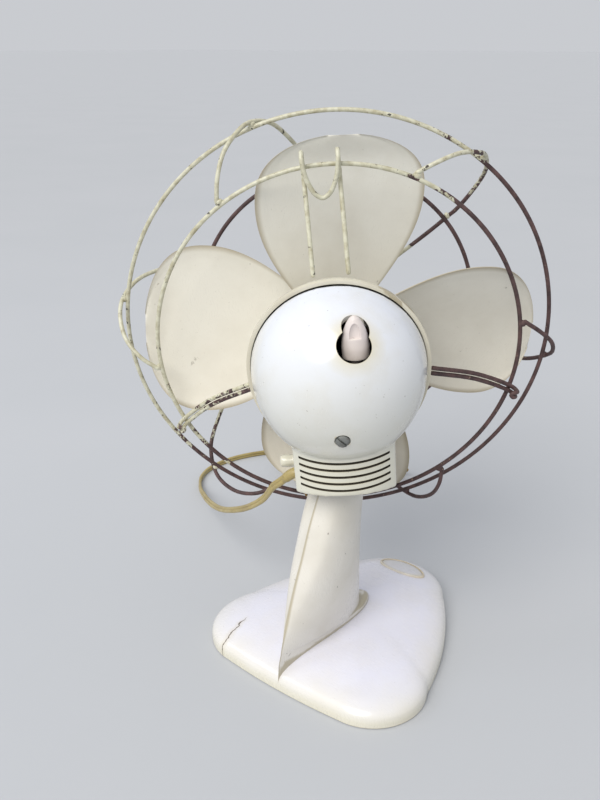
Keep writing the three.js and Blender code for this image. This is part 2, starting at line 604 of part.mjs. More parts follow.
function makeRotor(parent) {
  const worm = [];
  for (let i = 0; i < 6; i += 1) {
    worm.push([3.3, WORM.front + 3 * i], [WORM.radius, WORM.front + 1.5 + 3 * i]);
  }
  const shaft = turnedY([[0, SHAFT.front], [SHAFT.radius, SHAFT.front], [SHAFT.radius, 24],
    [SHAFT.rearRadius, 24], [SHAFT.rearRadius, WORM.front], ...worm, [SHAFT.rearRadius, SHAFT.rear - 4],
    [SHAFT.rearRadius, SHAFT.rear], [0, SHAFT.rear]], 12);
  add(parent, 'motor_shaft', shaft, steel);
  add(parent, 'rotor_core', sleeveY(SHAFT.radius + GAP, STATOR.bore - 0.8, -9, 13, 32), lamination);

  const blades = [];
  for (let i = 0; i < BLADE_COUNT; i += 1) {
    blades.push(blade().rotateY(BLADE_PHASE + (i * 2 * Math.PI) / BLADE_COUNT));
  }
  const hub = turnedY([[0, HUB.front], [8, HUB.front], [15, HUB.front + 5], [HUB.radius, HUB.front + 14],
    [HUB.radius, HUB.rear], [0, HUB.rear]], 28);
  const bore = rodY(SHAFT.radius + GAP, -80, 0, 0, 0, 16);
  add(parent, 'blade_set', cut(join(hub, ...blades), bore), ivory);
  add(parent, 'hub_nut', hexNutY(SHAFT.radius + GAP, 8, HUB.front - 6, HUB.front - GAP), brass);
}

// half the width of a paddle: it opens out quickly from the hub and closes in a round tip
function bladeHalfWidth(reach) {
  const { widestAt, widest, root } = BLADE_SHAPE;
  if (reach < widestAt) return root + (widest - root) * Math.sin((reach / widestAt) * (Math.PI / 2));
  const past = (reach - widestAt) / (1.005 - widestAt);
  return Math.max(3, widest * Math.sqrt(1 - past ** 2.6));
}

// one paddle, pointing up, its left edge (seen from behind) nearer to the rear
function blade() {
  const { inner, sections, across, camber } = BLADE_SHAPE;
  const loops = [];
  for (let i = 0; i <= sections; i += 1) {
    const reach = Math.sin(((i / sections) * Math.PI) / 2);
    const radius = inner + (BLADE_TIP - inner) * reach;
    const half = bladeHalfWidth(reach);
    const pitch = degrees(25 - 11 * reach);
    const thick = 1.6 - 0.5 * reach;
    const loop = [];
    for (const face of [1, -1]) {
      for (let j = 0; j <= across; j += 1) {
        const v = face * (1 - (2 * j) / across);
        const rim = j === 0 || j === across ? 0.35 : 1;
        const lift = camber * (half / BLADE_SHAPE.widest) * (1 - v * v) + face * thick * rim;
        loop.push(new THREE.Vector3(
          half * v * Math.cos(pitch) + lift * Math.sin(pitch),
          BLADE_MIDDLE + half * v * Math.sin(pitch) - lift * Math.cos(pitch),
          radius,
        ));
      }
    }
    loops.push(loop);
  }
  return loft(loops);
}

// ---------------------------------------------------------------- gears and knob

function toothed(radius, teeth, z0, z1, x, y) {
  const shape = new THREE.Shape();
  for (let i = 0; i < 2 * teeth; i += 1) {
    const angle = (Math.PI * i) / teeth;
    const reach = i % 2 === 0 ? radius : radius - 1;
    const place = [x + reach * Math.cos(angle), y + reach * Math.sin(angle)];
    if (i === 0) shape.moveTo(...place);
    else shape.lineTo(...place);
  }
  return plateZ(shape, z0, z1);
}

function makeGears(parent) {
  const { x, y, radius, bottom, top } = SPINDLE;
  const loose = radius + GAP;
  add(parent, 'gear_spindle', rodZ(radius, bottom, top, x, y, 16), steel);
  add(parent, 'worm_wheel', cut(toothed(WHEEL_RADIUS, 24, -3, 3, x, y), rodZ(loose, -5, 5, x, y, 16)), fibre);
  add(parent, 'pinion', cut(toothed(PINION_RADIUS, 12, CRANK_GEAR.bottom, CRANK_GEAR.top, x, y),
    rodZ(loose, -40, -30, x, y, 16)), brass);
  const gear = CRANK_GEAR;
  const crank = join(
    toothed(gear.radius, 40, gear.bottom, gear.top, gear.x, gear.y),
    rodZ(3, gear.top - 1, -27.7, gear.x, gear.y, 16),
    rodZ(CRANK_PIN.radius, CRANK_PIN.bottom, gear.bottom + 1, CRANK_PIN.x, CRANK_PIN.y, 14),
  );
  add(parent, 'crank_gear', crank, fibre);
}

function makeKnob(parent) {
  const rings = [[17, 3.2, 3.2], [24, 3.2, 3.2], [24.5, 8.5, 8], [31, 8.6, 7.6], [37, 7.9, 6.6], [42, 6.6, 5.4],
    [46, 4.9, 4], [49, 2.9, 2.5], [50.4, 1.1, 1]];
  const loops = rings.map(([z, halfX, halfY]) => {
    const loop = [];
    for (let i = 0; i < 20; i += 1) {
      const angle = (2 * Math.PI * i) / 20;
      loop.push(new THREE.Vector3(halfX * Math.cos(angle), halfY * Math.sin(angle), z));
    }
    return loop;
  });
  const scoop = new THREE.SphereGeometry(1, 16, 12).scale(4.6, 5, 10).rotateX(degrees(18)).translate(0, 9.4, 39);
  add(parent, 'oscillation_knob', cut(loft(loops), scoop).translate(SPINDLE.x, SPINDLE.y, 0), agedCream);
}

// ---------------------------------------------------------------- cage

function makeRings(parent) {
  const rings = { rear_ring: REAR_RING, big_ring: BIG_RING, front_ring: FRONT_RING };
  for (const [name, { radius, y }] of Object.entries(rings)) {
    const ring = new THREE.TorusGeometry(radius, WIRE, 6, 36).rotateX(Math.PI / 2).translate(0, y, 0);
    add(parent, name, ring, name === 'front_ring' ? wirePaint : rustyWire);
  }
}

function makeLoops(parent) {
  const outside = 2 * WIRE + GAP;
  for (let i = 0; i < LOOP_COUNT; i += 1) {
    const turn = 60 * i;
    const route = [
      around(turn + 63.8, REAR_RING.radius + outside, REAR_RING.y),
      around(turn + 60, 138, -19.5),
      around(turn + 55.5, 148.5, -27),
      around(turn + 51, 154, -38),
      around(turn + 47.7, BIG_RING.radius + outside + 0.4, BIG_RING.y),
      around(turn + 43.5, 147, -64),
      around(turn + 40, 130, -78),
      around(turn + 37, 112.5, -90),
      around(turn + 36.2, 106, -94.8),
      around(turn + 35.6, 99, -97.2),
      around(turn + 35.2, 88, -98.2),
      around(turn + 35, 56, -98.4),
      around(turn + 35, FRONT_DISC.radius + WIRE + 0.4, -98.4),
    ];
    add(parent, `loop_wire_${i + 1}`, bar(route, WIRE, 21, 5), i < 3 ? wirePaint : rustyWire);
  }
  const { radius, rear, front } = FRONT_DISC;
  add(parent, 'front_disc', turnedY([[0, front - 3], [radius * 0.6, front - 2], [radius, front], [radius, rear],
    [0, rear]], 32), ivory);
}

function makeSupports(parent) {
  const { radius: rim } = REAR_RING;
  const legs = ({ from, to, half, lean, reach }) => [-1, 1].map((side) => {
    const place = (radius, y, sideways) => {
      const angle = from + (to - from) * ((radius - SUPPORT_FOOT.radius) / (rim - SUPPORT_FOOT.radius));
      const [x, , z] = around(angle, radius, y);
      const [tx, tz] = [Math.sin(degrees(angle)), Math.cos(degrees(angle))];
      const offset = side * half + sideways;
      return [x - offset * tx, y, z - offset * tz];
    };
    return [
      place(SUPPORT_FOOT.radius, SUPPORT_FOOT.y, 0),
      place(95, -3.5, lean * 0.45),
      place(rim - 4, -13, lean * 0.9),
      place(rim + 0.6 * reach, -14.4, lean),
      place(rim + reach, -11.5, lean),
      place(rim + 0.6 * reach, -7.6, lean),
    ];
  });
  const hairpin = (shape) => {
    const [one, two] = legs(shape);
    const sag = (k) => {
      const [ax, , az] = one[5];
      const [bx, , bz] = two[5];
      const [ux, , uz] = around(shape.to, 1, 0);
      const depth = shape.drop * Math.sin(Math.PI * k);
      return [ax + (bx - ax) * k - ux * depth, -6.6, az + (bz - az) * k - uz * depth];
    };
    return [...one, sag(0.1), sag(0.3), sag(0.5), sag(0.7), sag(0.9), ...two.reverse()];
  };
  SUPPORTS.forEach((shape) => {
    const material = shape.name === 'top' ? wirePaint : rustyWire;
    add(parent, `support_${shape.name}`, bar(hairpin(shape), WIRE, shape.steps, 5), material);
  });
}

// ---------------------------------------------------------------- cord and plug

function makeCord(parent) {
  add(parent, 'cord_lead', bar(CORD_ROUTE, CORD_WIDTH / 2, 60, 6), leadPlastic);
  const { x, y, radius, height, width } = COIL_RING;
  const half = width / 2;
  const ring = turnedZ([[radius - half, 0.1], [radius + half, 0.1], [radius + half, height],
    [radius - half, height]], 36);
  add(parent, 'cord_coil', ring.translate(x, y, 0), leadPlastic);

  const body = join(
    rodY(9, -18, 8, 0, 9.4, 20),
    new THREE.CylinderGeometry(3.6, 8.6, 14, 20).translate(0, 15, 9.4),
  );
  const place = (geometry) => geometry.rotateZ(degrees(PLUG.turn)).translate(PLUG.x, PLUG.y, 0);
  add(parent, 'plug_body', place(cut(body, box(-12, 12, -30, 40, -5, 0.3))), agedCream);
  [-1, 1].forEach((side, i) => {
    add(parent, `plug_pin_${i + 1}`, place(rodY(2, -37, -18.3, side * 6, 9.4, 12)), brass);
  });
}

// white cap on the side of the casing, just before the cord
function makeSideCap(parent) {
  const { halfX, length, radius, y, z } = SIDE_CAP;
  const cap = turnedY([[0, 0], [radius, 0], [radius, length - 2], [radius - 1.4, length - 0.4], [0, length]], 20);
  add(parent, 'side_cap', cap.rotateZ(-Math.PI / 2).translate(halfX + GAP, y, z), coolWhite);
}

// soft spout that turns the lead downwards as it leaves the housing
function makeGland(parent) {
  const spout = bar(GLAND.route, GLAND.radius, 10, 12);
  add(parent, 'cord_gland', spout, leadPlastic);
}

// ---------------------------------------------------------------- assembly

const fan = new THREE.Group();
makeBase(fan);
makeNeck(fan);
makeCord(fan);

const tilting = new THREE.Group();
tilting.position.set(0, TILT_PIN.y, TILT_PIN.z);
tilting.rotation.x = -TILT_AT_REST;
fan.add(tilting);
makeKnuckle(tilting);

const head = new THREE.Group();
head.position.set(0, -SWIVEL_FORWARD, HEAD_RISE);
head.rotation.z = SWIVEL_AT_REST;
tilting.add(head);
makeLink(head);
makeRearCover(head);
makeFrontCasing(head);
makeStator(head);
makeGearFrame(head);
makeRotor(head);
makeGears(head);
makeKnob(head);
makeRings(head);
makeLoops(head);
makeSupports(head);
makeSideCap(head);
makeGland(head);

export default fan;
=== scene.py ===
"""Oscillating desk fan of the 1960s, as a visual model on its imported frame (metres, +Z up, base to -Y)."""

import json
import math

import bmesh
import bpy
from mathutils import Matrix, Vector, noise

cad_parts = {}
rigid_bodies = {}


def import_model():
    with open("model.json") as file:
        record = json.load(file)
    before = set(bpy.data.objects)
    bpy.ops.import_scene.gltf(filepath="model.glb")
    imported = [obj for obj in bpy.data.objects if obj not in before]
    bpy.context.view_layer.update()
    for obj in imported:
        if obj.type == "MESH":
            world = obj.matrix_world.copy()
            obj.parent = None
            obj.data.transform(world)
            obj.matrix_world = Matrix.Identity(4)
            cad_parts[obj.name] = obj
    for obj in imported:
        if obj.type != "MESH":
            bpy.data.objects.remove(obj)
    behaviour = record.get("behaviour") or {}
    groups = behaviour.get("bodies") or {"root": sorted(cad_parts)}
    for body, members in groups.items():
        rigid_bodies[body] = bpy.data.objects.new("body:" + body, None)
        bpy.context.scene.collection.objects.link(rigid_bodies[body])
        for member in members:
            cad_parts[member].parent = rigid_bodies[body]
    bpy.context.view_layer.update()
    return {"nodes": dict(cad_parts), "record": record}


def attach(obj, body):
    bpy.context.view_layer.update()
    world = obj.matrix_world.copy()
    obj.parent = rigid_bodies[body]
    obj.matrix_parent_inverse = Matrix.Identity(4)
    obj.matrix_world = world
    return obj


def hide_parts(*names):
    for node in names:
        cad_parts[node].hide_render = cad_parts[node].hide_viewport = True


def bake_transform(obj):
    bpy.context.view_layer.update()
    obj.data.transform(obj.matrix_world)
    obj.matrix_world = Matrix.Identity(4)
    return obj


for unused in list(bpy.data.objects):
    bpy.data.objects.remove(unused)
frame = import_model()
nodes = frame["nodes"]

METRES = 0.001
MM = Matrix.Scale(METRES, 4)
SIDEWAYS = Matrix(((0, 0, 1, 0), (1, 0, 0, 0), (0, 1, 0, 0), (0, 0, 0, 1)))  # turns an XY outline to YZ
HEAD = (
    Matrix.Translation((0, 0.033, 0.130))
    @ Matrix.Rotation(math.radians(-7.5), 4, "X")
    @ Matrix.Translation((0, -0.0189, 0.1047))
    @ Matrix.Rotation(math.radians(37), 4, "Z")
    @ MM
)
HEAD_TURN = HEAD.to_3x3().normalized()


# ---------------------------------------------------------------- camera

camera = bpy.data.objects.new("camera", bpy.data.cameras.new("camera"))
bpy.context.scene.collection.objects.link(camera)
camera.data.lens = 38.97
camera.data.sensor_width = 36
camera.data.clip_start = 0.02
camera.location = (-0.3216, 0.4735, 0.430)
camera.rotation_mode = "QUATERNION"
camera.rotation_quaternion = Vector((0.5759, -0.7241, -0.3795)).to_track_quat("-Z", "Y")
bpy.context.scene.camera = camera


# ---------------------------------------------------------------- curves and meshes

def smooth_line(points, steps):
    """Centripetal Catmull-Rom through the points, as steps + 1 evenly spaced places."""
    pts = [Vector(p) for p in points]
    pts = [2 * pts[0] - pts[1]] + pts + [2 * pts[-1] - pts[-2]]
    dense = []
    for a, b, c, d in zip(pts, pts[1:], pts[2:], pts[3:]):
        t0 = 0.0
        t1 = t0 + max((b - a).length, 1e-9) ** 0.5
        t2 = t1 + max((c - b).length, 1e-9) ** 0.5
        t3 = t2 + max((d - c).length, 1e-9) ** 0.5
        for k in range(12):
            t = t1 + (t2 - t1) * k / 12
            ab = a.lerp(b, (t - t0) / (t1 - t0))
            bc = b.lerp(c, (t - t1) / (t2 - t1))
            cd = c.lerp(d, (t - t2) / (t3 - t2))
            left = ab.lerp(bc, (t - t0) / (t2 - t0))
            right = bc.lerp(cd, (t - t1) / (t3 - t1))
            dense.append(left.lerp(right, (t - t1) / (t2 - t1)))
    dense.append(pts[-2])
    return even(dense, steps)


def even(line, steps):
    """The same line with steps + 1 evenly spaced places."""
    reach = [0.0]
    for a, b in zip(line, line[1:]):
        reach.append(reach[-1] + (b - a).length)
    out, k = [], 0
    for i in range(steps + 1):
        want = reach[-1] * i / steps
        while k < len(line) - 2 and reach[k + 1] < want:
            k += 1
        span = max(reach[k + 1] - reach[k], 1e-12)
        out.append(line[k].lerp(line[k + 1], min(1, (want - reach[k]) / span)))
    return out


def profile_curve(points, steps):
    """A smooth profile of (first, second) pairs."""
    return [(p.x, p.y) for p in smooth_line([(a, b, 0) for a, b in points], steps)]


def new_mesh(name, verts, faces):
    mesh = bpy.data.meshes.new(name)
    mesh.from_pydata([tuple(v) for v in verts], [], faces)
    bm = bmesh.new()
    bm.from_mesh(mesh)
    bmesh.ops.remove_doubles(bm, verts=bm.verts, dist=1e-5)
    bmesh.ops.recalc_face_normals(bm, faces=bm.faces)
    bm.to_mesh(mesh)
    bm.free()
    obj = bpy.data.objects.new(name, mesh)
    bpy.context.scene.collection.objects.link(obj)
    return obj


def loft_data(loops, closed=False):
    count = len(loops[0])
    verts = [v for loop in loops for v in loop]
    faces = []
    rows = len(loops) if closed else len(loops) - 1
    for r in range(rows):
        s = (r + 1) % len(loops)
        for i in range(count):
            j = (i + 1) % count
            faces.append((r * count + i, r * count + j, s * count + j, s * count + i))
    if not closed:
        faces.append(tuple(reversed(range(count))))
        faces.append(tuple((len(loops) - 1) * count + i for i in range(count)))
    return verts, faces


def loft(name, loops, closed=False):
    return new_mesh(name, *loft_data(loops, closed))


def turned(name, profile, sides=96, axis="Y"):
    """A solid of revolution from (radius, height) pairs that start and end on the axis, or close up."""
    loops = []
    for r, h in profile:
        r = max(r, 1e-4)
        ring = [(r * math.cos(2 * math.pi * i / sides),
                 r * math.sin(2 * math.pi * i / sides)) for i in range(sides)]
        loops.append([(a, h, b) if axis == "Y" else (a, b, h) for a, b in ring])
    on_axis = profile[0][0] < 0.01 and profile[-1][0] < 0.01
    return loft(name, loops, closed=not on_axis)


def prism(name, outline, low, high):
    """A flat XY outline between two heights."""
    return loft(name, [[(x, y, low) for x, y in outline], [(x, y, high) for x, y in outline]])


def slab(name, low, high, turn=0.0, about=(0, 0, 0)):
    corners = [(low[0], low[1]), (high[0], low[1]), (high[0], high[1]), (low[0], high[1])]
    obj = prism(name, corners, low[2], high[2])
    obj.data.transform(Matrix.Translation(about) @ Matrix.Rotation(turn, 4, "Y"))
    return obj


def rod(name, start, end, radius, sides=48):
    a, b = Vector(start), Vector(end)
    return tube(name, [a, b], lambda k: radius, sides)


def frames_along(line):
    """A tangent and two crossways directions at each place, turned as little as possible."""
    out, side = [], None
    for i, p in enumerate(line):
        a, b = line[max(i - 1, 0)], line[min(i + 1, len(line) - 1)]
        t = (b - a).normalized()
        if side is None:
            side = t.orthogonal().normalized()
        side = (side - t * side.dot(t)).normalized()
        out.append((t, side, t.cross(side)))
    return out


def tube(name, line, radius_at, sides=12, rounded=False):
    loops = []
    places = list(zip(line, frames_along(line)))
    last = len(line) - 1

    def ring(p, u, w, r):
        return [p + u * (r * math.cos(2 * math.pi * k / sides)) + w * (r * math.sin(2 * math.pi * k / sides))
                for k in range(sides)]

    if rounded:
        p, (t, u, w) = places[0]
        r = radius_at(0)
        loops += [ring(p - t * r * math.sin(a), u, w, r * math.cos(a)) for a in (1.45, 1.1, 0.7, 0.35)]
    for i, (p, (t, u, w)) in enumerate(places):
        loops.append(ring(p, u, w, radius_at(i / last)))
    if rounded:
        p, (t, u, w) = places[-1]
        r = radius_at(1)
        loops += [ring(p + t * r * math.sin(a), u, w, r * math.cos(a)) for a in (0.35, 0.7, 1.1, 1.45)]
    return loft(name, loops)


def combine(base, others, how):
    """The base with the others joined to it or cut from it, as one mesh."""
    for other in others:
        step = base.modifiers.new("step", "BOOLEAN")
        step.operation = how
        step.solver = "EXACT"
        step.object = other
        bake(base)
        bpy.data.objects.remove(other)
    return base


def bake(obj):
    bpy.context.view_layer.update()
    shaped = obj.evaluated_get(bpy.context.evaluated_depsgraph_get())
    mesh = bpy.data.meshes.new_from_object(shaped)
    old = obj.data
    obj.modifiers.clear()
    obj.data = mesh
    bpy.data.meshes.remove(old)


def voxel(obj, size, rounds=6):
    """Remeshes to an even skin and relaxes it, so that crossing shapes blend into one moulding."""
    step = obj.modifiers.new("voxel", "REMESH")
    step.mode = "VOXEL"
    step.voxel_size = size
    bake(obj)
    relax = obj.modifiers.new("relax", "SMOOTH")
    relax.factor = 0.5
    relax.iterations = rounds
    bake(obj)


def smooth(obj, angle=40):
    for face in obj.data.polygons:
        face.use_smooth = True
    limit = math.radians(angle)
    bm = bmesh.new()
    bm.from_mesh(obj.data)
    for edge in bm.edges:
        edge.smooth = not (len(edge.link_faces) == 2 and edge.calc_face_angle(0) > limit)
    bm.to_mesh(obj.data)
    bm.free()


def soften(obj, width, segments=2, angle=40):
    step = obj.modifiers.new("edges", "BEVEL")
    step.width = width
    step.segments = segments
    step.limit_method = "ANGLE"
    step.angle_limit = math.radians(angle)
    step.harden_normals = False


def merge(name, objs):
    """Separate shells in one piece."""
    bm = bmesh.new()
    for o in objs:
        bm.from_mesh(o.data)
        bpy.data.objects.remove(o)
    mesh = bpy.data.meshes.new(name)
    bm.to_mesh(mesh)
    bm.free()
    obj = bpy.data.objects.new(name, mesh)
    bpy.context.scene.collection.objects.link(obj)
    return obj


def settle(obj, body, material, replaced=(), place=MM, angle=40, bevel=0):
    """Puts a piece built in millimetres in its place in the frame, and on its body."""
    obj.data.transform(place)
    obj.data.update()
    if bevel:
        soften(obj, bevel * METRES, 2, angle)
        bake(obj)
    smooth(obj, angle)
    obj.data.materials.clear()
    obj.data.materials.append(material)
    if body:
        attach(obj, body)
    if replaced:
        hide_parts(*replaced)
    return obj


# ---------------------------------------------------------------- materials

def srgb(r, g, b):
    def one(v):
        v /= 255
        return v / 12.92 if v <= 0.04045 else ((v + 0.055) / 1.055) ** 2.4
    return (one(r), one(g), one(b), 1)


class Finish:
    """A material being built; places are in metres in the frame."""

    def __init__(self, name, roughness=0.5, metallic=0.0, coat=0.0, **sockets):
        self.material = bpy.data.materials.new(name)
        self.material.use_nodes = True
        self.tree = self.material.node_tree
        self.shader = self.tree.nodes["Principled BSDF"]
        self.shader.inputs["Roughness"].default_value = roughness
        self.shader.inputs["Metallic"].default_value = metallic
        self.shader.inputs["Coat Weight"].default_value = coat
        self.shader.inputs["Coat Roughness"].default_value = 0.12
        for key, value in sockets.items():
            self.shader.inputs[key].default_value = value
        self.place = self.add("ShaderNodeTexCoord").outputs["Object"]
        self.height = None

    def add(self, kind, inputs=None, **props):
        node = self.tree.nodes.new(kind)
        for key, value in props.items():
            setattr(node, key, value)
        for key, value in (inputs or {}).items():
            socket = node.inputs[key]
            if isinstance(value, bpy.types.NodeSocket):
                self.tree.links.new(value, socket)
            else:
                socket.default_value = value
        return node

    def along(self, turn=(0, 0, 0), stretch=(1, 1, 1), shift=(0, 0, 0)):
        return self.add("ShaderNodeMapping", {"Vector": self.place, "Rotation": turn, "Scale": stretch,
                                              "Location": shift}).outputs[0]

    def noise(self, scale, detail=4, rough=0.55, place=None, distort=0.0):
        return self.add("ShaderNodeTexNoise", {"Vector": place or self.place, "Scale": scale,
                                               "Detail": detail,
                                               "Roughness": rough, "Distortion": distort}).outputs["Fac"]

    def span(self, value, low, high, out_low=0.0, out_high=1.0):
        return self.add("ShaderNodeMapRange", {"Value": value, "From Min": low, "From Max": high,
                                               "To Min": out_low, "To Max": out_high}).outputs["Result"]

    def math(self, operation, a, b=0.0):
        return self.add("ShaderNodeMath", {0: a, 1: b}, operation=operation).outputs[0]

    def blend(self, factor, a, b):
        node = self.add("ShaderNodeMix", data_type="RGBA")
        for socket, value in ((node.inputs[0], factor), (node.inputs[6], a), (node.inputs[7], b)):
            if isinstance(value, bpy.types.NodeSocket):
                self.tree.links.new(value, socket)
            else:
                socket.default_value = value
        return node.outputs[2]

    def axis(self, which):
        return self.add("ShaderNodeSeparateXYZ", {"Vector": self.place}).outputs[which]

    def measure(self, operation, vector):
        """The place's dot product with a direction, or its distance from a point."""
        return self.add("ShaderNodeVectorMath", {0: self.place, 1: tuple(vector)},
                        operation=operation).outputs["Value"]

    def worn(self, low=0.52, high=0.6):
        pointy = self.add("ShaderNodeNewGeometry").outputs["Pointiness"]
        return self.span(pointy, low, high)

    def bump(self, value, depth, strength=1.0):
        node = self.add("ShaderNodeBump", {"Height": value, "Distance": depth, "Strength": strength})
        if self.height is not None:
            self.tree.links.new(self.height, node.inputs["Normal"])
        self.height = node.outputs["Normal"]

    def done(self, colour, roughness=None):
        self.tree.links.new(colour, self.shader.inputs["Base Color"])
        if roughness is not None:
            self.tree.links.new(roughness, self.shader.inputs["Roughness"])
        if self.height is not None:
            self.tree.links.new(self.height, self.shader.inputs["Normal"])
        return self.material


def enamel(name, upper, lower, z_low, z_high, edge, rough=0.24, coat=0.35, grime=0.5, chips=0.0, extra=None):
    """Old gloss plastic or enamel: a tone that shifts with height, cream edges, stains and fine scratches."""
    f = Finish(name, rough, coat=coat)
    tone = f.blend(f.span(f.axis(2), z_low, z_high), lower, upper)
    stain = f.span(f.noise(28, 6, 0.6), 0.42, 0.72)
    tone = f.blend(f.math("MULTIPLY", stain, grime * 0.5), tone, edge)
    tone = f.blend(f.math("MULTIPLY", f.worn(), 0.8), tone, edge)
    speck = f.span(f.noise(620, 2, 0.5), 0.71, 0.76)
    tone = f.blend(f.math("MULTIPLY", speck, 0.55 * grime), tone, srgb(92, 80, 62))
    if chips:
        hole = f.span(f.noise(90, 5, 0.62), 0.70, 0.715)
        tone = f.blend(f.math("MULTIPLY", hole, chips), tone, srgb(96, 84, 66))
        f.bump(f.math("SUBTRACT", 1.0, hole), 0.0003, 0.5)
    if extra:
        tone = extra(f, tone)
    scratch = f.noise(240, 3, 0.6, f.along((0.4, 0.2, 0.7), (1, 14, 1)))
    gloss = f.span(f.math("ADD", scratch, f.math("MULTIPLY", stain, 0.4)), 0.4, 1.0, rough * 0.8, rough * 1.9)
    f.bump(f.noise(70, 2, 0.4), 0.0006, 0.10)
    f.bump(f.noise(900, 2, 0.5), 0.00006, 0.18)
    return f.done(tone, gloss)


def hairline(f, tone):
    """A hairline crack that runs in from the rear corner of the base."""
    wander = f.math("MULTIPLY", f.noise(150, 3), 0.006)
    away = f.math("ABSOLUTE", f.math("SUBTRACT", f.math("ADD", f.axis(0), wander), 0.0604))
    line = f.math("MULTIPLY", f.span(away, 0.0005, 0.00012), f.span(f.axis(1), 0.062, 0.067))
    f.bump(f.math("SUBTRACT", 1.0, line), 0.0004, 0.8)
    halo = f.math("MULTIPLY", f.span(away, 0.004, 0.0005, 0.0, 0.35), f.span(f.axis(1), 0.060, 0.070))
    return f.blend(line, f.blend(halo, tone, srgb(206, 196, 168)), srgb(82, 66, 46))


def metal(name, light, dark, rough=0.35, grain=(1, 1, 1), rust=0.0, metallic=1.0):
    f = Finish(name, rough, metallic)
    tone = f.blend(f.span(f.noise(60, 5, 0.6), 0.3, 0.7), dark, light)
    brushed = f.noise(500, 3, 0.6, f.along(stretch=grain))
    tone = f.blend(f.math("MULTIPLY", brushed, 0.3), tone, dark)
    if rust:
        spots = f.span(f.noise(140, 6, 0.65), 0.62 - 0.2 * rust, 0.72)
        tone = f.blend(spots, tone, srgb(96, 62, 42))
    gloss = f.span(brushed, 0.2, 0.8, rough * 0.7, rough * 1.5)
    f.bump(brushed, 0.00008, 0.3)
    return f.done(tone, gloss)


RUST_DIRECTION = (-0.78, -0.62, -0.9)


def wire_finish(name, bias):
    """Cream paint on wire, chipped to black, and gone to brown rust away from the upper left of the cage."""
    f = Finish(name, 0.5, 0.0, coat=0.05)
    slope = f.measure("DOT_PRODUCT", RUST_DIRECTION)
    level = f.math("ADD", f.noise(75, 8, 0.68), f.math("MULTIPLY", f.math("ADD", slope, 0.29 + bias), 2.6))
    gone = f.span(level, 0.555, 0.568)
    chips = f.span(f.noise(210, 6, 0.66), 0.635, 0.65)
    bare = f.math("MAXIMUM", gone, chips)
    rusty = f.blend(f.span(f.noise(160, 5, 0.6), 0.35, 0.65), srgb(58, 42, 42), srgb(92, 68, 66))
    rusty = f.blend(f.span(f.noise(420, 3, 0.6), 0.66, 0.72), rusty, srgb(146, 124, 104))
    black = f.blend(f.span(f.noise(300, 4, 0.6), 0.4, 0.6), srgb(26, 24, 22), srgb(64, 54, 44))
    under = f.blend(gone, black, rusty)
    aged = f.blend(f.span(f.noise(200, 4, 0.6), 0.4, 0.75), srgb(206, 204, 182), srgb(160, 152, 120))
    tone = f.blend(bare, aged, under)
    f.bump(f.math("SUBTRACT", 1.0, bare), 0.0002, 0.8)
    f.bump(f.noise(800, 4, 0.6), 0.00015, 0.5)
    return f.done(tone, f.span(bare, 0, 1, 0.36, 0.66))


def lead_finish(name, tone_a, tone_b):
    f = Finish(name, 0.42, coat=0.1)
    f.shader.inputs["Subsurface Weight"].default_value = 0.05
    f.shader.inputs["Subsurface Radius"].default_value = (0.004, 0.003, 0.001)
    tone = f.blend(f.span(f.noise(22, 5, 0.6), 0.3, 0.7), tone_a, tone_b)
    tone = f.blend(f.math("MULTIPLY", f.span(f.noise(300, 4, 0.6), 0.6, 0.72), 0.5), tone, srgb(96, 80, 48))
    f.bump(f.noise(500, 3, 0.6), 0.00008, 0.35)
    return f.done(tone, f.span(f.noise(120, 3), 0.3, 0.7, 0.32, 0.55))


def rubber(name, tone, dusty):
    f = Finish(name, 0.75)
    colour = f.blend(f.span(f.noise(150, 6, 0.65), 0.4, 0.8), tone, dusty)
    f.bump(f.noise(1400, 3, 0.6), 0.0001, 0.5)
    return f.done(colour, f.span(f.noise(90, 3), 0.3, 0.7, 0.6, 0.85))


def laminated(name):
    f = Finish(name, 0.5, 0.9)
    axis = HEAD_TURN @ Vector((0, 1, 0))
    spread = f.measure("DOT_PRODUCT", axis)
    sheet = f.math("FRACT", f.math("MULTIPLY", spread, 2000.0))
    line = f.span(f.math("ABSOLUTE", f.math("SUBTRACT", sheet, 0.5)), 0.3, 0.48)
    tone = f.blend(line, srgb(96, 98, 104), srgb(40, 36, 36))
    tone = f.blend(f.span(f.noise(120, 6, 0.65), 0.55, 0.75), tone, srgb(92, 58, 40))
    f.bump(f.math("SUBTRACT", 1.0, line), 0.00012, 0.6)
    return f.done(tone, f.span(f.noise(200, 3), 0.3, 0.7, 0.4, 0.65))


def winding(name):
    f = Finish(name, 0.34, 0.75, coat=0.4)
    strand = f.add("ShaderNodeTexWave", {"Vector": f.place, "Scale": 330.0, "Distortion": 1.2, "Detail": 2.0,
                                         "Detail Scale": 1.5}, wave_type="BANDS", bands_direction="DIAGONAL")
    tone = f.blend(strand.outputs["Fac"], srgb(92, 44, 24), srgb(186, 108, 64))
    tone = f.blend(f.span(f.noise(60, 4), 0.5, 0.8), tone, srgb(74, 40, 24))
    f.bump(strand.outputs["Fac"], 0.0002, 0.7)
    return f.done(tone, f.span(f.noise(150, 3), 0.3, 0.7, 0.25, 0.45))


def fibreboard(name):
    f = Finish(name, 0.65)
    tone = f.blend(f.span(f.noise(700, 4, 0.7), 0.3, 0.7), srgb(74, 48, 28), srgb(132, 94, 58))
    f.bump(f.noise(1200, 3, 0.6), 0.0001, 0.5)
    return f.done(tone, f.span(f.noise(160, 3), 0.3, 0.7, 0.5, 0.75))


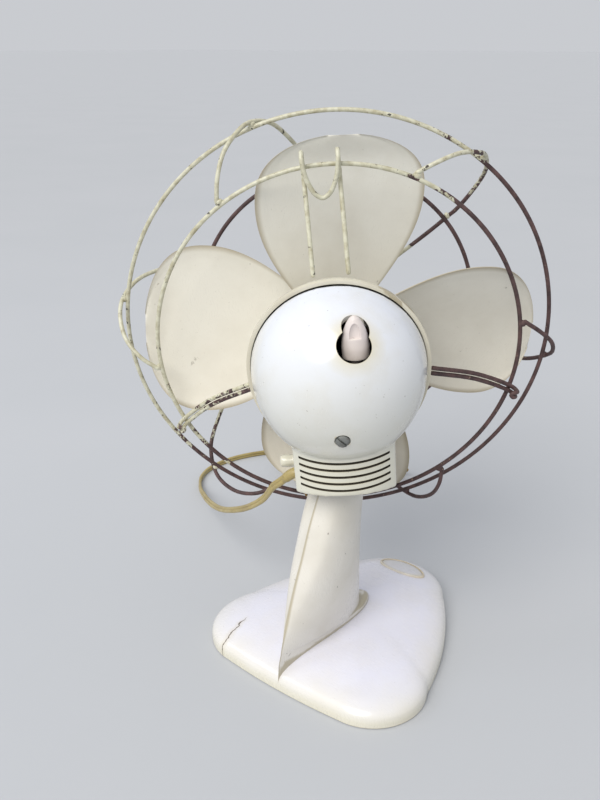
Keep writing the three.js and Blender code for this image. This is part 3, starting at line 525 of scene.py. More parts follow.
def dome_finish():
    """Cover: creamier below and bluish white on top, the bluish top being a painted sky reflection, with a
    cream halo round the knob hole and the edges.
    """
    f = Finish("cover_white", 0.2, coat=0.5)
    # creamy white below, blending to bluish white at the top: the blue top is a painted sky reflection
    tone = f.blend(f.span(f.axis(2), 0.175, 0.285), srgb(218, 216, 200), srgb(224, 228, 238))
    hole = HEAD @ Vector((-10.4, 59.5, 36))
    gap = f.measure("DISTANCE", hole)
    halo = f.span(f.math("ADD", gap, f.math("MULTIPLY", f.noise(90, 4), 0.006)), 0.024, 0.013)
    tone = f.blend(f.math("MULTIPLY", halo, 0.75), tone, srgb(214, 206, 178))
    stain = f.span(f.noise(30, 6, 0.6), 0.45, 0.75)
    tone = f.blend(f.math("MULTIPLY", stain, 0.35), tone, srgb(206, 200, 180))
    tone = f.blend(f.math("MULTIPLY", f.worn(0.515, 0.57), 0.7), tone, srgb(212, 202, 172))
    speck = f.span(f.noise(560, 2, 0.5), 0.73, 0.77)
    tone = f.blend(f.math("MULTIPLY", speck, 0.5), tone, srgb(110, 96, 74))
    scratch = f.noise(260, 3, 0.6, f.along((0.5, 0.3, 0.9), (1, 16, 1)))
    f.bump(f.noise(60, 2, 0.4), 0.0008, 0.08)
    f.bump(f.noise(1000, 2, 0.5), 0.00005, 0.15)
    return f.done(tone, f.span(f.math("ADD", scratch, f.math("MULTIPLY", stain, 0.3)), 0.4, 1.0, 0.14, 0.36))


COVER = dome_finish()
CASING = enamel("casing_cream", srgb(222, 218, 202), srgb(214, 207, 186), 0.16, 0.29, srgb(160, 148, 118),
                0.3, 0.3,
                0.6, 0.3)
# base: the bluish white towards the top is a painted sky reflection over the creamy white of the sides
BASE = enamel("base_white", srgb(224, 224, 236), srgb(222, 218, 202), 0.004, 0.020,
              srgb(214, 206, 180), 0.22, 0.45, 0.45, 0.0, hairline)
NECK = enamel("neck_ivory", srgb(228, 224, 214), srgb(220, 216, 208), 0.02, 0.15, srgb(170, 160, 132), 0.28,
              0.3, 0.4,
              0.9)
BLADE = enamel("blade_ivory", srgb(228, 226, 216), srgb(220, 213, 196), 0.10, 0.36, srgb(150, 136, 104),
               0.34, 0.15, 0.3,
               0.35)
KNOB = enamel("knob_beige", srgb(218, 208, 204), srgb(210, 196, 178), 0.235, 0.27, srgb(230, 224, 214), 0.4,
              0.15, 0.6)
# badge face: the bluish white at the top is a painted sky reflection
BADGE_FACE = enamel("badge_face", srgb(216, 216, 226), srgb(212, 210, 210), 0.018, 0.026,
                    srgb(206, 198, 176), 0.3, 0.3, 0.5)
# badge rim: the brown towards the bottom of the rim is painted shadow beneath the raised rim
BADGE_RIM = enamel("badge_rim", srgb(218, 216, 208), srgb(206, 178, 134), 0.0165, 0.0235,
                   srgb(214, 206, 184), 0.3, 0.3, 0.6)
PLUG = enamel("plug_ivory", srgb(205, 190, 168), srgb(196, 178, 152), 0.0, 0.02, srgb(160, 140, 108), 0.4,
              0.15, 0.7)
WIRE_CREAM = wire_finish("wire_cream", -0.03)
WIRE_RUST = wire_finish("wire_rusted", 0.0)
WELD = wire_finish("weld_blobs", -0.07)
WIRE_BROWN = wire_finish("wire_brown", 0.16)
LEAD = lead_finish("lead_plastic", srgb(178, 162, 108), srgb(152, 134, 82))
STEEL = metal("screw_steel", srgb(150, 148, 146), srgb(92, 88, 84), 0.38, (1, 1, 6), 0.15)
DARK_STEEL = metal("aged_steel", srgb(150, 152, 148), srgb(52, 50, 48), 0.5, (1, 1, 1), 0.15, 0.7)
# dark brown finish for the cover's inner faces: painted shade inside the cover, seen through the vent slots
COVER_PAINTED_SHADE = enamel("cover_inside_painted_shade", srgb(70, 66, 58), srgb(52, 48, 42), 0.16, 0.29, srgb(84, 76, 62), 0.6,
                      0.0)
PLATE = metal("plate_steel", srgb(158, 160, 162), srgb(112, 112, 114), 0.34, (1, 20, 1), 0.1)
BRASS = metal("brass", srgb(196, 160, 92), srgb(120, 92, 48), 0.32, (6, 1, 1))
ALLOY = metal("cast_alloy", srgb(150, 150, 152), srgb(96, 96, 98), 0.55, (1, 1, 1), 0.0, 0.9)
RUBBER = rubber("foot_rubber", srgb(38, 36, 34), srgb(86, 80, 72))
LAMINATION = laminated("lamination")
COPPER = winding("copper")
FIBRE = fibreboard("fibre")

BY_SLOT = {
    "base_white": BASE, "plate_steel": PLATE, "foot_rubber": RUBBER, "screw_steel": STEEL,
    "badge_ivory": BADGE_FACE,
    "neck_ivory": NECK, "brass": BRASS, "lead_plastic": LEAD, "plug_ivory": PLUG, "cast_alloy": ALLOY,
    "cover_white": COVER, "casing_cream": CASING, "copper": COPPER, "lamination": LAMINATION,
    "blade_ivory": BLADE,
    "fibre": FIBRE, "knob_beige": KNOB, "wire_cream": WIRE_CREAM, "wire_rusted": WIRE_RUST,
}


# ---------------------------------------------------------------- cord

CORD_WIDTH = 5.5
CORD_LOBE = 1.45
CORD_ROUTE = [
    (24.3, 55.5, 148), (29.7, 55.2, 143), (37, 53.5, 136.5), (52.5, 46.6, 118.5), (77.5, 36.6, 98),
    (111.4, 19.5, 76), (150.6, -5.9, 52.5), (194, -37, 30.6), (230, -65, 14.6), (248, -79.5, 7.4),
    (262, -92, 3.5), (273, -105, 2.9), (280, -122, 2.9), (281, -140, 2.9), (277.5, -160, 2.9),
    (269, -180, 2.9), (256, -199.5, 2.9), (239.5, -217, 2.9), (226, -227.5, 2.9), (211.5, -238.2, 2.9),
]
CORD_STEPS = 900
SHEATH_STEPS = 25
COIL_CENTRE = (186, -204)
COIL_SEATS = [(35.9, 2.9), (30.1, 2.9), (30.1, 8.4), (30.1, 13.9), (35.9, 13.9), (35.9, 8.4)]
COIL_START = math.atan2(-34.2, 25.5)
COIL_TURNS = 6 + (math.pi / 2 + COIL_START) / (2 * math.pi)
PLUG_TAIL = (163, -239.9, 9.4)


def ease(t):
    t = min(1, max(0, t))
    return t * t * (3 - 2 * t)


def coil_points(per_turn=32):
    """Turns lie in two rings of three, each change of seat spread over a quarter of a turn."""
    out = []
    steps = int(COIL_TURNS * per_turn)
    for i in range(1, steps + 1):
        u = COIL_TURNS * i / steps
        seat = min(int(u), len(COIL_SEATS) - 1)
        radius, z = COIL_SEATS[seat]
        if seat == 0:
            radius += 6.8 * (1 - ease(u / 0.4))
        elif u - seat < 0.25:
            before = COIL_SEATS[seat - 1]
            k = ease((u - seat) / 0.25)
            radius = before[0] + (radius - before[0]) * k
            z = before[1] + (z - before[1]) * k
        angle = COIL_START - 2 * math.pi * u
        out.append((COIL_CENTRE[0] + radius * math.cos(angle), COIL_CENTRE[1] + radius * math.sin(angle), z))
    return out


def flat_tube(name, line, roll_at, grow=lambda k: 0.0):
    """Flat twin lead: two round lobes with a groove between, the wide way rolled by an angle from level."""
    sides, centre = 20, CORD_WIDTH / 2 - CORD_LOBE
    loops = []
    for i, p in enumerate(line):
        a, b = line[max(i - 1, 0)], line[min(i + 1, len(line) - 1)]
        t = (b - a).normalized()
        level = t.cross(Vector((0, 0, 1))).normalized()
        rise = level.cross(t)
        k = i / (len(line) - 1)
        roll = roll_at(k)
        wide = level * math.cos(roll) + rise * math.sin(roll)
        thin = t.cross(wide)
        ring = []
        for s in range(sides):
            angle = 2 * math.pi * s / sides
            lobe = CORD_LOBE + grow(k)
            reach = centre * abs(math.cos(angle)) + math.sqrt(lobe ** 2 - (centre * math.sin(angle)) ** 2)
            ring.append(p + wide * (reach * math.cos(angle)) + thin * (reach * math.sin(angle)))
        loops.append(ring)
    return loft(name, loops)


cord_line = smooth_line(CORD_ROUTE + coil_points() + [(176, -239.9, 9.2), PLUG_TAIL], CORD_STEPS)


def cord_roll(k):
    """On edge at the housing, flat in the air, on edge again where it winds up."""
    if k < 0.1:
        return math.radians(80 - 40 * ease(k / 0.1))
    return math.radians(40 + 50 * ease((k - 0.1) / 0.1))


cord = flat_tube("cord", cord_line, cord_roll)
settle(cord, "stand", LEAD, ("cord_lead", "cord_coil"), angle=60)

# the sheath over the lead's first stretch, at the housing
sheath_line = cord_line[:SHEATH_STEPS + 1]
sheath = flat_tube("strain_relief", sheath_line, lambda k: cord_roll(k * SHEATH_STEPS / CORD_STEPS),
                   lambda k: 0.4 - 0.3 * k)
settle(sheath, None, LEAD, angle=60)
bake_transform(sheath)

tie = []
for side in (-1, 1):
    loop = [(33 + 7.2 * math.cos(a),
             9 + 9.4 * math.sin(a)) for a in (2 * math.pi * k / 40 for k in range(40))]
    at = math.radians(150 if side < 0 else 20)
    band = []
    for r, z in loop:
        ring = []
        for w, grow in ((-2.2, 0), (2.2, 0), (2.2, 0.9), (-2.2, 0.9)):
            out = Vector((r - 33, z - 9)).normalized() * grow
            rr, zz = r + out.x, max(0.25, z + out.y)
            ring.append((COIL_CENTRE[0] + rr * math.cos(at) - w * math.sin(at),
                         COIL_CENTRE[1] + rr * math.sin(at) + w * math.cos(at), zz))
        band.append(ring)
    tie.append(loft("tie", band, closed=True))
settle(merge("coil_ties", tie), "stand", RUBBER, angle=50)

# plug: a rounded body with a ribbed grip and a moulded tail, and two round pins
PLUG_HEIGHT = 9.4
body = turned("plug", profile_curve([(0.1, -18), (8.2, -17.9), (9.0, -17), (9.0, -8), (8.8, 2), (8.8, 7),
                                     (7.4, 12),
                                     (5.2, 17), (3.9, 20), (3.5, 22), (0.1, 22)], 90), 64)
grooves = []
for k in range(5):
    grooves.append(turned("rib", [(8.1, -6 + 3 * k), (12, -6.7 + 3 * k), (12, -5.3 + 3 * k)], 48))
combine(body, grooves, "DIFFERENCE")
PLUG_PLACE = MM @ Matrix.Translation((140, -239.9, PLUG_HEIGHT)) @ Matrix.Rotation(math.radians(-90), 4, "Z")
plug = settle(body, "stand", PLUG, ("plug_body",), PLUG_PLACE, 40, 0.25)
for i, side in enumerate((-1, 1)):
    pin = turned("plug_pin", profile_curve([(0.05, -37), (1.2, -36.9), (1.9, -36.2), (2, -35), (2, -28),
                                            (2, -18.2),
                                            (0.05, -18.2)], 30), 32)
    pin.name = f"plug_contact_{i + 1}"
    pin.data.transform(Matrix.Translation((side * 6, 0, 0)))
    settle(pin, "stand", BRASS, (f"plug_pin_{i + 1}",), PLUG_PLACE)


# ---------------------------------------------------------------- base

BASE_CORNER = (50, 51, 41)
BASE_NOSE = (-50, 45)
BASE_BULGE = 13
BASE_REAR_BULGE = 5


def base_outline(fine=14):
    """A triangle with round corners and bulging sides."""
    cx, cy, radius = BASE_CORNER
    nose_y, nose_r = BASE_NOSE
    run = math.hypot(cx, nose_y - cy)
    normal = math.atan2(cy - nose_y, cx) - math.pi / 2 - math.asin((nose_r - radius) / run)
    cos, sin = math.cos(normal), math.sin(normal)
    corner_end = (cx + radius * cos, cy + radius * sin)
    nose_end = (nose_r * cos, nose_y + nose_r * sin)
    bulge = ((corner_end[0] + nose_end[0]) / 2 + BASE_BULGE * cos,
             (corner_end[1] + nose_end[1]) / 2 + BASE_BULGE * sin)

    def arc(x, y, r, a, b):
        return [(x + r * math.cos(a + (b - a) * k / fine), y + r * math.sin(a + (b - a) * k / fine))
                for k in range(fine + 1)]

    def side(a, b, c):
        return [tuple((1 - t) ** 2 * a[i] + 2 * t * (1 - t) * b[i] + t * t * c[i] for i in (0, 1))
                for t in (k / fine for k in range(1, fine))]

    line = arc(cx, cy, radius, normal, math.pi / 2)
    line += side((cx, cy + radius), (0, cy + radius + BASE_REAR_BULGE), (-cx, cy + radius))
    line += arc(-cx, cy, radius, math.pi / 2, math.pi - normal)
    line += side((-corner_end[0], corner_end[1]), (-bulge[0], bulge[1]), (-nose_end[0], nose_end[1]))
    line += arc(0, nose_y, nose_r, math.pi - normal, 2 * math.pi + normal)
    line += side(nose_end, bulge, corner_end)
    dense = [Vector((x, y, 0)) for x, y in line + [line[0]]]
    return [(p.x, p.y) for p in even(dense, 200)[:-1]]


BASE_OUTER = [(0.02, 25.5), (0.25, 25), (0.5, 23.3), (0.72, 20.2), (0.88, 16.3), (0.955, 13), (0.99, 9.5),
              (1, 6),
              (1, 0.8)]
BASE_INNER = [(0.985, 0.8), (0.97, 4), (0.95, 9), (0.86, 13), (0.5, 19.5), (0.02, 22.5)]
outline = base_outline()


def base_loops(profile):
    return [[(x * s, y * s, z) for x, y in outline] for s, z in profile]


shell = loft("base", base_loops(profile_curve(BASE_OUTER, 44) + profile_curve(BASE_INNER, 16)))
settle(shell, "stand", BASE, ("base_shell",), MM, 42)

# the badge: a blank oval in a raised rim
OVAL = {"long": 21, "short": 11.5, "y": -70}


def base_top(x, y):
    """Height of the base's surface at a place."""
    reach = math.hypot(x, y)
    angle = math.atan2(y, x)
    edge = min(outline, key=lambda p: abs((math.atan2(p[1],
                                                      p[0]) - angle + math.pi) % (2 * math.pi) - math.pi))
    s = reach / math.hypot(*edge)
    for (s0, z0), (s1, z1) in zip(BASE_OUTER, BASE_OUTER[1:]):
        if s0 <= s <= s1:
            return z0 + (z1 - z0) * (s - s0) / (s1 - s0)
    return BASE_OUTER[0][1] if s < BASE_OUTER[0][0] else BASE_OUTER[-1][1]


def badge_ring(scale, lift):
    ring = []
    for k in range(72):
        a = 2 * math.pi * k / 72
        x, y = OVAL["long"] * scale * math.cos(a), OVAL["y"] + OVAL["short"] * scale * math.sin(a)
        ring.append((x, y, base_top(x, y) + lift))
    return ring


plate = loft("badge", [badge_ring(s, h) for s, h in
                       [(0.02, -0.6), (0.86, -0.6), (0.885, 0.9), (0.86, 1.35), (0.7, 1.5), (0.4, 1.6),
                        (0.02, 1.65)]])
settle(plate, "stand", BADGE_FACE, ("base_badge",), MM, 50)
rim = loft("badge_rim", [badge_ring(s, h) for s, h in
                         [(0.9, -0.6), (0.9, 1.4), (0.925, 1.85), (0.96, 1.9), (0.99, 1.4), (1.0, 0.6),
                          (1.0, -0.6)]],
           closed=True)
settle(rim, "stand", BADGE_RIM, (), MM, 50)


# ---------------------------------------------------------------- neck

NECK_SECTIONS = [
    (6, 94.5, -15.5, 10.2, 1.3), (21, 93.5, -15, 11.5, 1.2), (27, 91.9, -14, 12.6, 1.08),
    (28.5, 91.4, -12, 12.6, 1.05),
    (30, 91, -1, 12.9, 1.0), (35, 90, 0.5, 14, 0.9), (50, 85.5, 2.5, 16.5, 0.7), (77, 76, 4.5, 18, 0.55),
    (97, 67.5, 5, 18.2, 0.5), (120, 58.5, 5, 18, 0.5), (148, 44.5, 2, 17.5, 0.5),
]
NECK_FACET = 1.75  # half width per millimetre back from the front edge
NECK_FOOT = 5  # the sections before this one are joined by straight lines


def neck_loop(z, spine, front, half, blunt, steps=26):
    peak = blunt / (blunt + 0.5)
    top = peak ** blunt * (1 - peak) ** 0.5
    left = []
    for i in range(steps + 1):
        t = (1 - math.cos(math.pi * i / steps)) / 2
        rounded = half * t ** blunt * math.sqrt(max(0, 1 - t)) / top
        left.append((min(rounded, NECK_FACET * (spine - front) * t), spine - (spine - front) * t, z))
    return left + [(-x, y, h) for x, y, h in reversed(left[1:-1])]


def neck_section(z):
    """Neck sizes at a height: smooth above the foot, straight between the sections of the foot."""
    last = len(NECK_SECTIONS) - 1
    i = max(k for k in range(last) if NECK_SECTIONS[k][0] <= z)
    a, b, c, d = [NECK_SECTIONS[max(min(i, NECK_FOOT), min(last, i + step))] for step in (-1, 0, 1, 2)]
    u = (z - b[0]) / (c[0] - b[0])
    if i < NECK_FOOT:
        return [q + (r - q) * u for q, r in zip(b, c)]
    below = (c[0] - b[0]) / max(c[0] - a[0], 1e-6)
    above = (c[0] - b[0]) / max(d[0] - b[0], 1e-6)
    out = []
    for p0, p1, p2, p3 in zip(a, b, c, d):
        m1 = (p2 - p0) * below
        m2 = (p3 - p1) * above
        out.append(p1 * (1 + 2 * u) * (1 - u) ** 2 + m1 * u * (1 - u) ** 2 + p2 * u * u * (3 - 2 * u)
                   - m2 * u * u * (1 - u))
    return [z] + out[1:]


neck_heights = [6, 14, 21, 24, 27, 27.6, 28.2, 28.5, 29, 29.5, 30] + [30 + 118 * k / 56 for k in range(1, 57)]
neck = loft("neck", [neck_loop(*neck_section(min(z, 147.999))) for z in neck_heights])
under = loft("under", base_loops([(s, z + 0.15) for s, z in BASE_OUTER] + [(1, -20)]))
slot = prism("slot", [(-20, 119), (45, 119), (41.5, 138), (36, 150), (36, 160), (-20, 160)], -7.6, 7.6)
slot.data.transform(SIDEWAYS)
pin_hole = rod("pin_hole", (-14.8, 33, 130), (30, 33, 130), 3.5)
combine(neck, [under, slot, pin_hole], "DIFFERENCE")
settle(neck, "stand", NECK, ("neck_column",), MM, 35, 0.6)


# ---------------------------------------------------------------- housing

SEAM = 17
STRETCH = 64 / 57.5


def stretch_down(obj):
    for v in obj.data.vertices:
        if v.co.z < 0:
            v.co.z *= STRETCH
    return obj


def dome(name, wall, shift=0.0):
    steps = 30
    points = [(0.0, SEAM + shift)]
    for i in range(steps + 1):
        a = math.pi / 2 * i / steps
        points.append(((57.5 - wall) * math.cos(a) if i < steps else 0.0,
                       SEAM + (56 - wall) * math.sin(a) + shift))
    return stretch_down(turned(name, points, 120))


def chin_outline(wall, front):
    half, radius, centre = 34 - wall, 44 - wall, 10
    sweep = math.asin(half / radius)
    line = [(half, front)]
    line += [(radius * math.sin(a), centre + radius * math.cos(a))
             for a in (sweep - 2 * sweep * k / 36 for k in range(37))]
    line.append((-half, front))
    return line


def cut_below(name, extra=0.0):
    wedge = prism(name, [(SEAM - 5, -88 - extra), (SEAM, -88 - extra), (60, -74.5 - extra), (60, -130),
                         (SEAM - 5, -130)], -60, 60)
    wedge.data.transform(SIDEWAYS)
    return wedge


KNOB_AXIS = (-11.4, 51)
KNOB_HOLE = Vector((-10.4, 60.2, 35))
KNOB_HOLE_RADIUS = 10.6
SCREW_Z = -25
SCREW_SEAT = 66

# the space that the knob sweeps as it lifts
knob_path = loft("knob_path", [
    [(KNOB_AXIS[0] + a * math.cos(t), KNOB_AXIS[1] + b * math.sin(t),
      z) for t in (2 * math.pi * i / 64 for i in range(64))]
    for z, a, b in ((28, 9.4, 8.8), (36, 9.4, 8.4), (42, 8.7, 7.4), (47, 7.4, 6.2), (51, 5.7, 4.8),
                    (54, 3.7, 3.3),
                    (56.5, 1.9, 1.8))])
HOLE_AXIS = Vector((0, math.sin(math.radians(50)), math.cos(math.radians(50))))
cover = combine(dome("cover", 0), [prism("chin", chin_outline(0, SEAM), -100, -36)], "UNION")
combine(cover, [cut_below("below")], "DIFFERENCE")
voxel(cover, 1.15, 5)
hollow = [dome("hollow", 2.5, -1.5), prism("chin_hollow", chin_outline(2.5, SEAM - 5), -101, -36),
          rod("skin_filler", (0, SEAM - 5, 0), (0, SEAM + 1, 0), 48, 60)]
for k in range(5):
    z = -51 - 5.2 * k
    band = combine(prism("band", chin_outline(-3, 30), z - 0.9, z + 0.9),
                   [prism("inner", chin_outline(4.5, 10), z - 2, z + 2)], "DIFFERENCE")
    hollow.append(combine(band, [slab("end", (30, 0, z - 3), (60, 80, z + 3)),
                                 slab("end", (-60, 0, z - 3), (-30, 80, z + 3))], "DIFFERENCE"))
combine(cover, hollow[:1], "DIFFERENCE")
combine(cover, hollow[1:], "DIFFERENCE")
combine(cover, [rod("boss", (0, SEAM + 40, SCREW_Z), (0, SCREW_SEAT, SCREW_Z), 6.2)], "UNION")
combine(cover, [rod("counterbore", (0, SCREW_SEAT, SCREW_Z), (0, 90, SCREW_Z), 5.1),
                rod("screw_hole", (0, 37, SCREW_Z), (0, 90, SCREW_Z), 2.6),
                rod("knob_hole", KNOB_HOLE - 14 * HOLE_AXIS, KNOB_HOLE + 20 * HOLE_AXIS, KNOB_HOLE_RADIUS,
                    96),
                knob_path,
                rod("cord_hole", (20, SEAM, -79), (50, SEAM, -79), 4.6)], "DIFFERENCE")
settle(cover, "head", COVER, ("rear_cover",), HEAD, 38)
# the cover's inward-facing faces take the dark finish, which is painted shade inside the cover
cover.data.materials.append(COVER_PAINTED_SHADE)
middle = HEAD @ Vector((0, SEAM, 0))
screw_seat = HEAD @ Vector((0, 70, SCREW_Z))
for face in cover.data.polygons:
    if face.normal.dot(face.center - middle) < 0 and (face.center - screw_seat).length > 0.009:
        face.material_index = 1

CASING_OUTER = [(10, -22), (30, -22), (40, -19), (49, -12), (55, -4), (57.5, 5), (58.5, 11.5), (60.5, 12.5),
                (60.5, 16.7)]
CASING_INNER = [(58, 16.7), (56, 11), (55, 5), (52.5, -3), (47, -10), (39, -16.5), (29, -19.5), (10, -19.5)]


def snout_outline(inset, rear):
    half, front, corner = 34 - inset, -20.5 + inset, 8
    line = [(half, rear), (-half, rear), (-half, front + corner)]
    for k in range(1, 9):
        t = k / 8
        line.append((-half + corner * t * t, front + corner * (1 - t) ** 2))
    for k in range(0, 9):
        t = k / 8
        line.append((half - corner * (1 - t) ** 2, front + corner * t * t))
    return line


casing = stretch_down(turned("casing", CASING_OUTER + CASING_INNER, 120))
core = stretch_down(turned("core", [(0, 19)] + [(58, 19)] + CASING_INNER[1:] + [(0, -19.5)], 120))
snout = combine(prism("snout", snout_outline(0, 16.7), -91, -38), [core], "DIFFERENCE")
inner = combine(prism("snout_inner", snout_outline(2.5, 19), -96, -37),
                [slab("keep", (-60, -40, -45), (60, -19.5, -30))],
                "DIFFERENCE")
combine(casing, [snout], "UNION")
combine(casing, [inner, rod("shaft_hole", (0, -30, 0), (0, -15, 0), 9),
                 rod("cord_hole", (20, SEAM, -79), (50, SEAM, -79), 4.6)],
        "DIFFERENCE")
settle(casing, "head", CASING, ("front_casing",), HEAD, 38, 0.4)

cap = turned("casing_cap", profile_curve([(0.05, 0), (4.4, 0.02), (4.4, 3), (4.4, 9), (3.9, 10.7),
                                          (2.6, 11.4), (0.05, 11.5)],
                                         40), 48)
cap.data.transform(Matrix.Translation((34.3, 6, -76)) @ Matrix.Rotation(math.radians(-90), 4, "Z"))
settle(cap, "head", COVER, ("side_cap",), HEAD, 50)

GLAND_ROUTE = [(28, 17, -79), (33, 17, -79), (36, 17, -79.4), (39.5, 16.9, -81.3), (41.5, 16.8, -82.9)]
gland = tube("gland", smooth_line(GLAND_ROUTE, 24), lambda k: 4.1 - 0.5 * k, 32, True)
settle(gland, "head", LEAD, ("cord_gland",), HEAD, 60)

# cover screw: a domed head with a wide slot, rough with age
head = turned("screw", [(0.0, 24), (2.0, 24), (2.0, 66.3)] + profile_curve([(4.3, 66.3), (4.35, 68),
                                                                            (4.2, 69.2),
                                                                            (3.2, 69.8), (1.5, 70),
                                                                            (0.0, 70.05)], 24), 64)
head.data.transform(Matrix.Translation((0, 0, SCREW_Z)))
combine(head, [slab("driver", (-0.65, 68.5, -6), (0.65, 72, 6), math.radians(44), (0, 0, SCREW_Z))],
        "DIFFERENCE")
settle(head, "head", DARK_STEEL, ("cover_screw",), HEAD, 40, 0.15)

# knob: a stepped barrel with a scooped face
rings = [(17, 3.2, 3.2), (24, 3.2, 3.2), (24.5, 8.5, 8), (31, 8.6, 7.6), (37, 7.9, 6.6), (42, 6.6, 5.4),
         (46, 4.9, 4),
         (49, 2.9, 2.5), (50.4, 1.1, 1)]
knob_loops = []
for (z0, a0, b0), (z1, a1, b1) in zip(rings, rings[1:]):
    for k in range(5):
        u = k / 5
        knob_loops.append([((a0 + (a1 - a0) * u) * math.cos(t), (b0 + (b1 - b0) * u) * math.sin(t),
                            z0 + (z1 - z0) * u)
                           for t in (2 * math.pi * i / 64 for i in range(64))])
knob_loops.append([(1.1 * math.cos(t), math.sin(t), 50.4) for t in (2 * math.pi * i / 64 for i in range(64))])
knob = loft("knob", knob_loops)
scoop = turned("scoop", [(math.sin(a), -math.cos(a)) for a in (math.pi * k / 24 for k in range(25))], 48, "Z")
scoop.data.transform(Matrix.Translation((0, 8.2, 38)) @ Matrix.Rotation(math.radians(18), 4, "X")
                     @ Matrix.Diagonal((4.4, 4.6, 10.5, 1)))
combine(scoop, [slab("above", (-10, -10, 37.5), (10, 30, 60))], "INTERSECT")
combine(knob, [scoop], "DIFFERENCE")
knob.data.transform(Matrix.Translation((*KNOB_AXIS, 0)))
settle(knob, "knob", KNOB, ("oscillation_knob",), HEAD, 35, 0.3)


# ---------------------------------------------------------------- blades

TIP, ROOT, WIDEST, WIDEST_AT, MIDDLE = 137, 16, 59, 0.66, -43


def blade_half(reach):
    if reach < WIDEST_AT:
        return ROOT + (WIDEST - ROOT) * math.sin(reach / WIDEST_AT * math.pi / 2)
    past = (reach - WIDEST_AT) / (1.005 - WIDEST_AT)
    return max(2.0, WIDEST * math.sqrt(max(0, 1 - past ** 2.6)))


def blade(sections=44, across=30):
    """A cambered paddle with a rolled lip along its outer edge."""
    loops = []
    for i in range(sections + 1):
        reach = math.sin(i / sections * math.pi / 2)
        radius = 12 + (TIP - 12) * reach
        half = blade_half(reach)
        pitch = math.radians(25 - 11 * reach)
        thick = 1.3 - 0.45 * reach
        ring = []
        for face in (1, -1):
            for j in range(across + 1):
                v = face * (1 - 2 * j / across)
                edge = max(abs(v) ** 14, 1.0 if i == sections else reach ** 40)
                tip_lip = 2.6 * ease((reach - 0.86) / 0.14) * (1 - v * v)
                lip = tip_lip + 1.6 * ease((abs(v) - 0.84) / 0.16) * reach
                lift = 5 * (half / WIDEST) * (1 - v * v) - lip + face * thick * (1 - 0.62 * edge)
                ring.append((half * v * math.cos(pitch) + lift * math.sin(pitch),
                             MIDDLE + half * v * math.sin(pitch) - lift * math.cos(pitch), radius))
        loops.append(ring)
    return loft("blade", loops)


hub = turned("hub", profile_curve([(4.3, -25), (17, -25), (19, -26.5), (19, -35), (18.6, -46), (17.6, -54),
                                   (14.5, -57.4),
                                   (9, -58), (4.3, -58)], 60), 96)
paddles = []
for k in range(4):
    paddle = blade()
    paddle.data.transform(Matrix.Rotation(math.radians(90 * k - 5), 4, "Y"))
    paddles.append(paddle)
combine(hub, paddles, "UNION")
combine(hub, [rod("shaft_bore", (0, -80, 0), (0, 0, 0), 4.3)], "DIFFERENCE")
hub.name = "blades"
settle(hub, "rotor", BLADE, ("blade_set",), HEAD, 50)


# ---------------------------------------------------------------- cage

WIRE = 1.5


def around(angle, radius, y):
    a = math.radians(angle)
    return (-radius * math.cos(a), y, radius * math.sin(a))


def uneven(line, amount):
    """Hand-bent wire: the line wanders by a fraction of a millimetre."""
    out = []
    for p in line:
        q = p * 0.02
        out.append(p + amount * Vector((noise.noise(q), noise.noise(q + Vector((7, 3, 1))),
                                        noise.noise(q + Vector((2, 9, 5))))))
    return out


def wire_radius(k):
    return WIRE * (1 + 0.05 * noise.noise(Vector((k * 60, 2.3, 1.1))))


for name, radius, y, finish, slot_name in (
    ("rear_ring", 124.3, -18, WIRE_RUST, "wire_rusted"),
    ("big_ring", 151, -50, WIRE_RUST, "wire_rusted"),
    ("front_ring", 102.7, -92, WIRE_BROWN, "wire_cream"),
):
    sides, count = 14, 288
    loops = []
    for i in range(count):
        a = 2 * math.pi * i / count
        away = Vector((math.cos(a), 0, math.sin(a)))
        wander = 0.35 * noise.noise(away * 1.7 + Vector((radius, 0, 0)))
        r = WIRE * (1 + 0.04 * noise.noise(away * 14))
        loops.append([away * (radius + wander + r * math.cos(b)) + Vector((0, y + r * math.sin(b), 0))
                      for b in (2 * math.pi * s / sides for s in range(sides))])
    settle(loft(name + "_wire", loops, closed=True), "head", finish, (name,), HEAD, 70)

for i in range(6):
    turn = 60 * i
    route = [
        around(turn + 63.8, 127.6, -18), around(turn + 60, 138, -19.5), around(turn + 55.5, 148.5, -27),
        around(turn + 51, 154, -38), around(turn + 47.7, 154.7, -50), around(turn + 43.5, 147, -64),
        around(turn + 40, 130, -78), around(turn + 37, 112.5, -90), around(turn + 36.2, 106, -94.8),
        around(turn + 35.6, 99, -97.2), around(turn + 35.2, 88, -98.2), around(turn + 35, 56, -98.4),
        around(turn + 35, 25.9, -98.4),
    ]
    line = uneven(smooth_line(route, 120), 0.3)
    finish, slot_name = (WIRE_CREAM, "wire_cream") if i < 3 else (WIRE_RUST, "wire_rusted")
    settle(tube(f"cage_loop_{i + 1}", line, wire_radius, 14, True), "head", finish,
           (f"loop_wire_{i + 1}",),
           HEAD, 70)

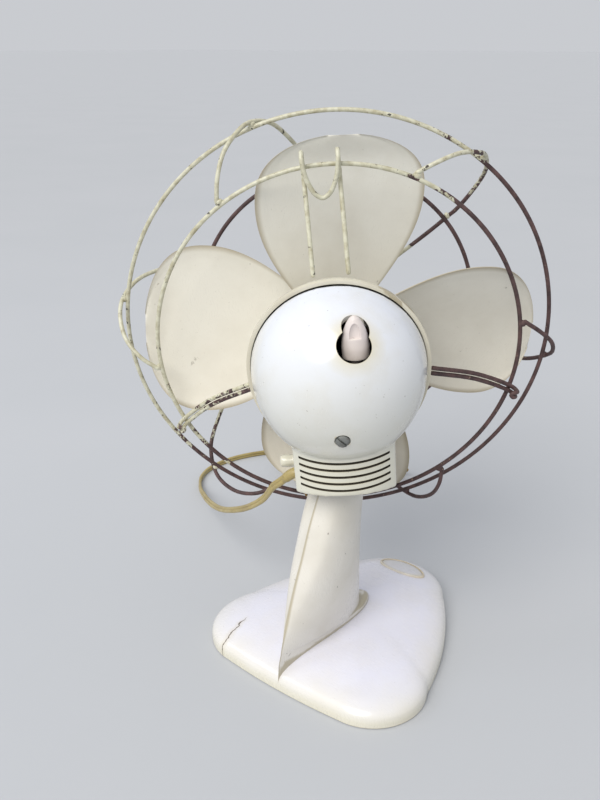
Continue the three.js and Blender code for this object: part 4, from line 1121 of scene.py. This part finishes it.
REAR_RIM = 124.3
for name, start, stop, half, lean, reach, drop, finish, slot_name in (
    ("top", 91, 91, 11.2, -1, 10, 24, WIRE_CREAM, "wire_cream"),
    ("left", 192.5, 204.5, 1.9, 1, 5, 3, WIRE_RUST, "wire_rusted"),
    ("right", 351, 341, 1.9, -1, 5, 3, WIRE_RUST, "wire_rusted"),
):
    legs = []
    for side in (-1, 1):
        leg = []
        for radius, y, sideways in ((62.5, 10, 0), (95, -3.5, lean * 0.45), (REAR_RIM - 4, -13, lean * 0.9),
                                    (REAR_RIM + 0.6 * reach, -14.4, lean), (REAR_RIM + reach, -11.5, lean),
                                    (REAR_RIM + 0.6 * reach, -7.6, lean)):
            angle = start + (stop - start) * (radius - 62.5) / (REAR_RIM - 62.5)
            x, _, z = around(angle, radius, y)
            offset = side * half + sideways
            leg.append((x - offset * math.sin(math.radians(angle)), y,
                        z - offset * math.cos(math.radians(angle))))
        legs.append(leg)
    (ax, _, az), (bx, _, bz) = legs[0][-1], legs[1][-1]
    ux, _, uz = around(stop, 1, 0)
    sag = []
    for k in (0.06, 0.16, 0.3, 0.5, 0.7, 0.84, 0.94):
        deep = drop * math.sin(math.pi * k) ** 0.55
        sag.append((ax + (bx - ax) * k - ux * deep, -6.6, az + (bz - az) * k - uz * deep))
    line = smooth_line(legs[0] + sag + legs[1][::-1], 160)
    settle(tube(f"cage_support_{name}", line, wire_radius, 14, True), "head", finish,
           (f"support_{name}",),
           HEAD, 70)

# weld blobs where wires meet
blobs = []
for i in range(6):
    turn = 60 * i
    spots = [(turn + 63.4, 126, -18, 2.1), (turn + 47.7, 152.9, -50, 1.9), (turn + 36.7, 105.4, -93.6, 1.9)]
    for n, (angle, radius, y, size) in enumerate(spots):
        blob = turned("blob", [(math.sin(a), -math.cos(a)) for a in (math.pi * k / 12 for k in range(13))],
                      20, "Z")
        for v in blob.data.vertices:
            v.co *= 1 + 0.22 * noise.noise(v.co * 1.6 + Vector((i * 5, n * 7, 0)))
        blob.data.transform(Matrix.Translation(around(angle, radius,
                                                      y)) @ Matrix.Rotation(math.radians(angle), 4, "Y")
                            @ Matrix.Diagonal((size * 1.05, size * 0.95, size * 1.25, 1)))
        blobs.append(blob)
settle(merge("weld_blobs", blobs), "head", WELD, (), HEAD, 70)

disc = turned("front_plate", profile_curve([(0.05, -103.4), (8, -103.2), (15, -102.4), (21, -101.2),
                                            (23.6, -100),
                                            (24, -98.6), (24, -97.2), (23.4, -96.5), (10, -96.4),
                                            (0.05, -96.4)], 70), 120)
settle(disc, "head", BLADE, ("front_disc",), HEAD, 50)


# ---------------------------------------------------------------- carried-over nodes

for row in frame["record"]["subparts"]:
    node = nodes[row["node"]]
    smooth(node, 35)
    node.data.materials.clear()
    node.data.materials.append(BY_SLOT[row["material_slot"]])


# ---------------------------------------------------------------- floor and light

floor = new_mesh("floor", [(-60, -60, 0), (60, -60, 0), (60, 60, 0), (-60, 60, 0)], [(0, 1, 2, 3)])
surface = Finish("floor", 0.6)
tint = surface.blend(surface.noise(3, 3), srgb(186, 189, 193), srgb(192, 194, 198))
floor.data.materials.append(surface.done(tint))

world = bpy.data.worlds.new("studio")
world.use_nodes = True
world.node_tree.nodes["Background"].inputs["Color"].default_value = (0.585, 0.60, 0.63, 1)
world.node_tree.nodes["Background"].inputs["Strength"].default_value = 1.0
bpy.context.scene.world = world
bpy.context.scene.view_settings.view_transform = "Standard"

for name, kind, place, size, power, colour in (
    ("sky", "SUN", (-0.14, 1.05, 1.2), 0.7, 2.3, (1.0, 0.97, 0.92)),
    ("window", "AREA", (1.0, 1.0, 1.2), 0.6, 3.5, (0.86, 0.92, 1.0)),
):
    lamp = bpy.data.objects.new(name, bpy.data.lights.new(name, kind))
    bpy.context.scene.collection.objects.link(lamp)
    if kind == "SUN":
        lamp.data.angle = size
    else:
        lamp.data.size = size
    lamp.data.energy = power
    lamp.data.color = colour
    lamp.location = place
    lamp.rotation_mode = "QUATERNION"
    lamp.rotation_quaternion = (Vector((0, 0, 0.18)) - Vector(place)).to_track_quat("-Z", "Y")
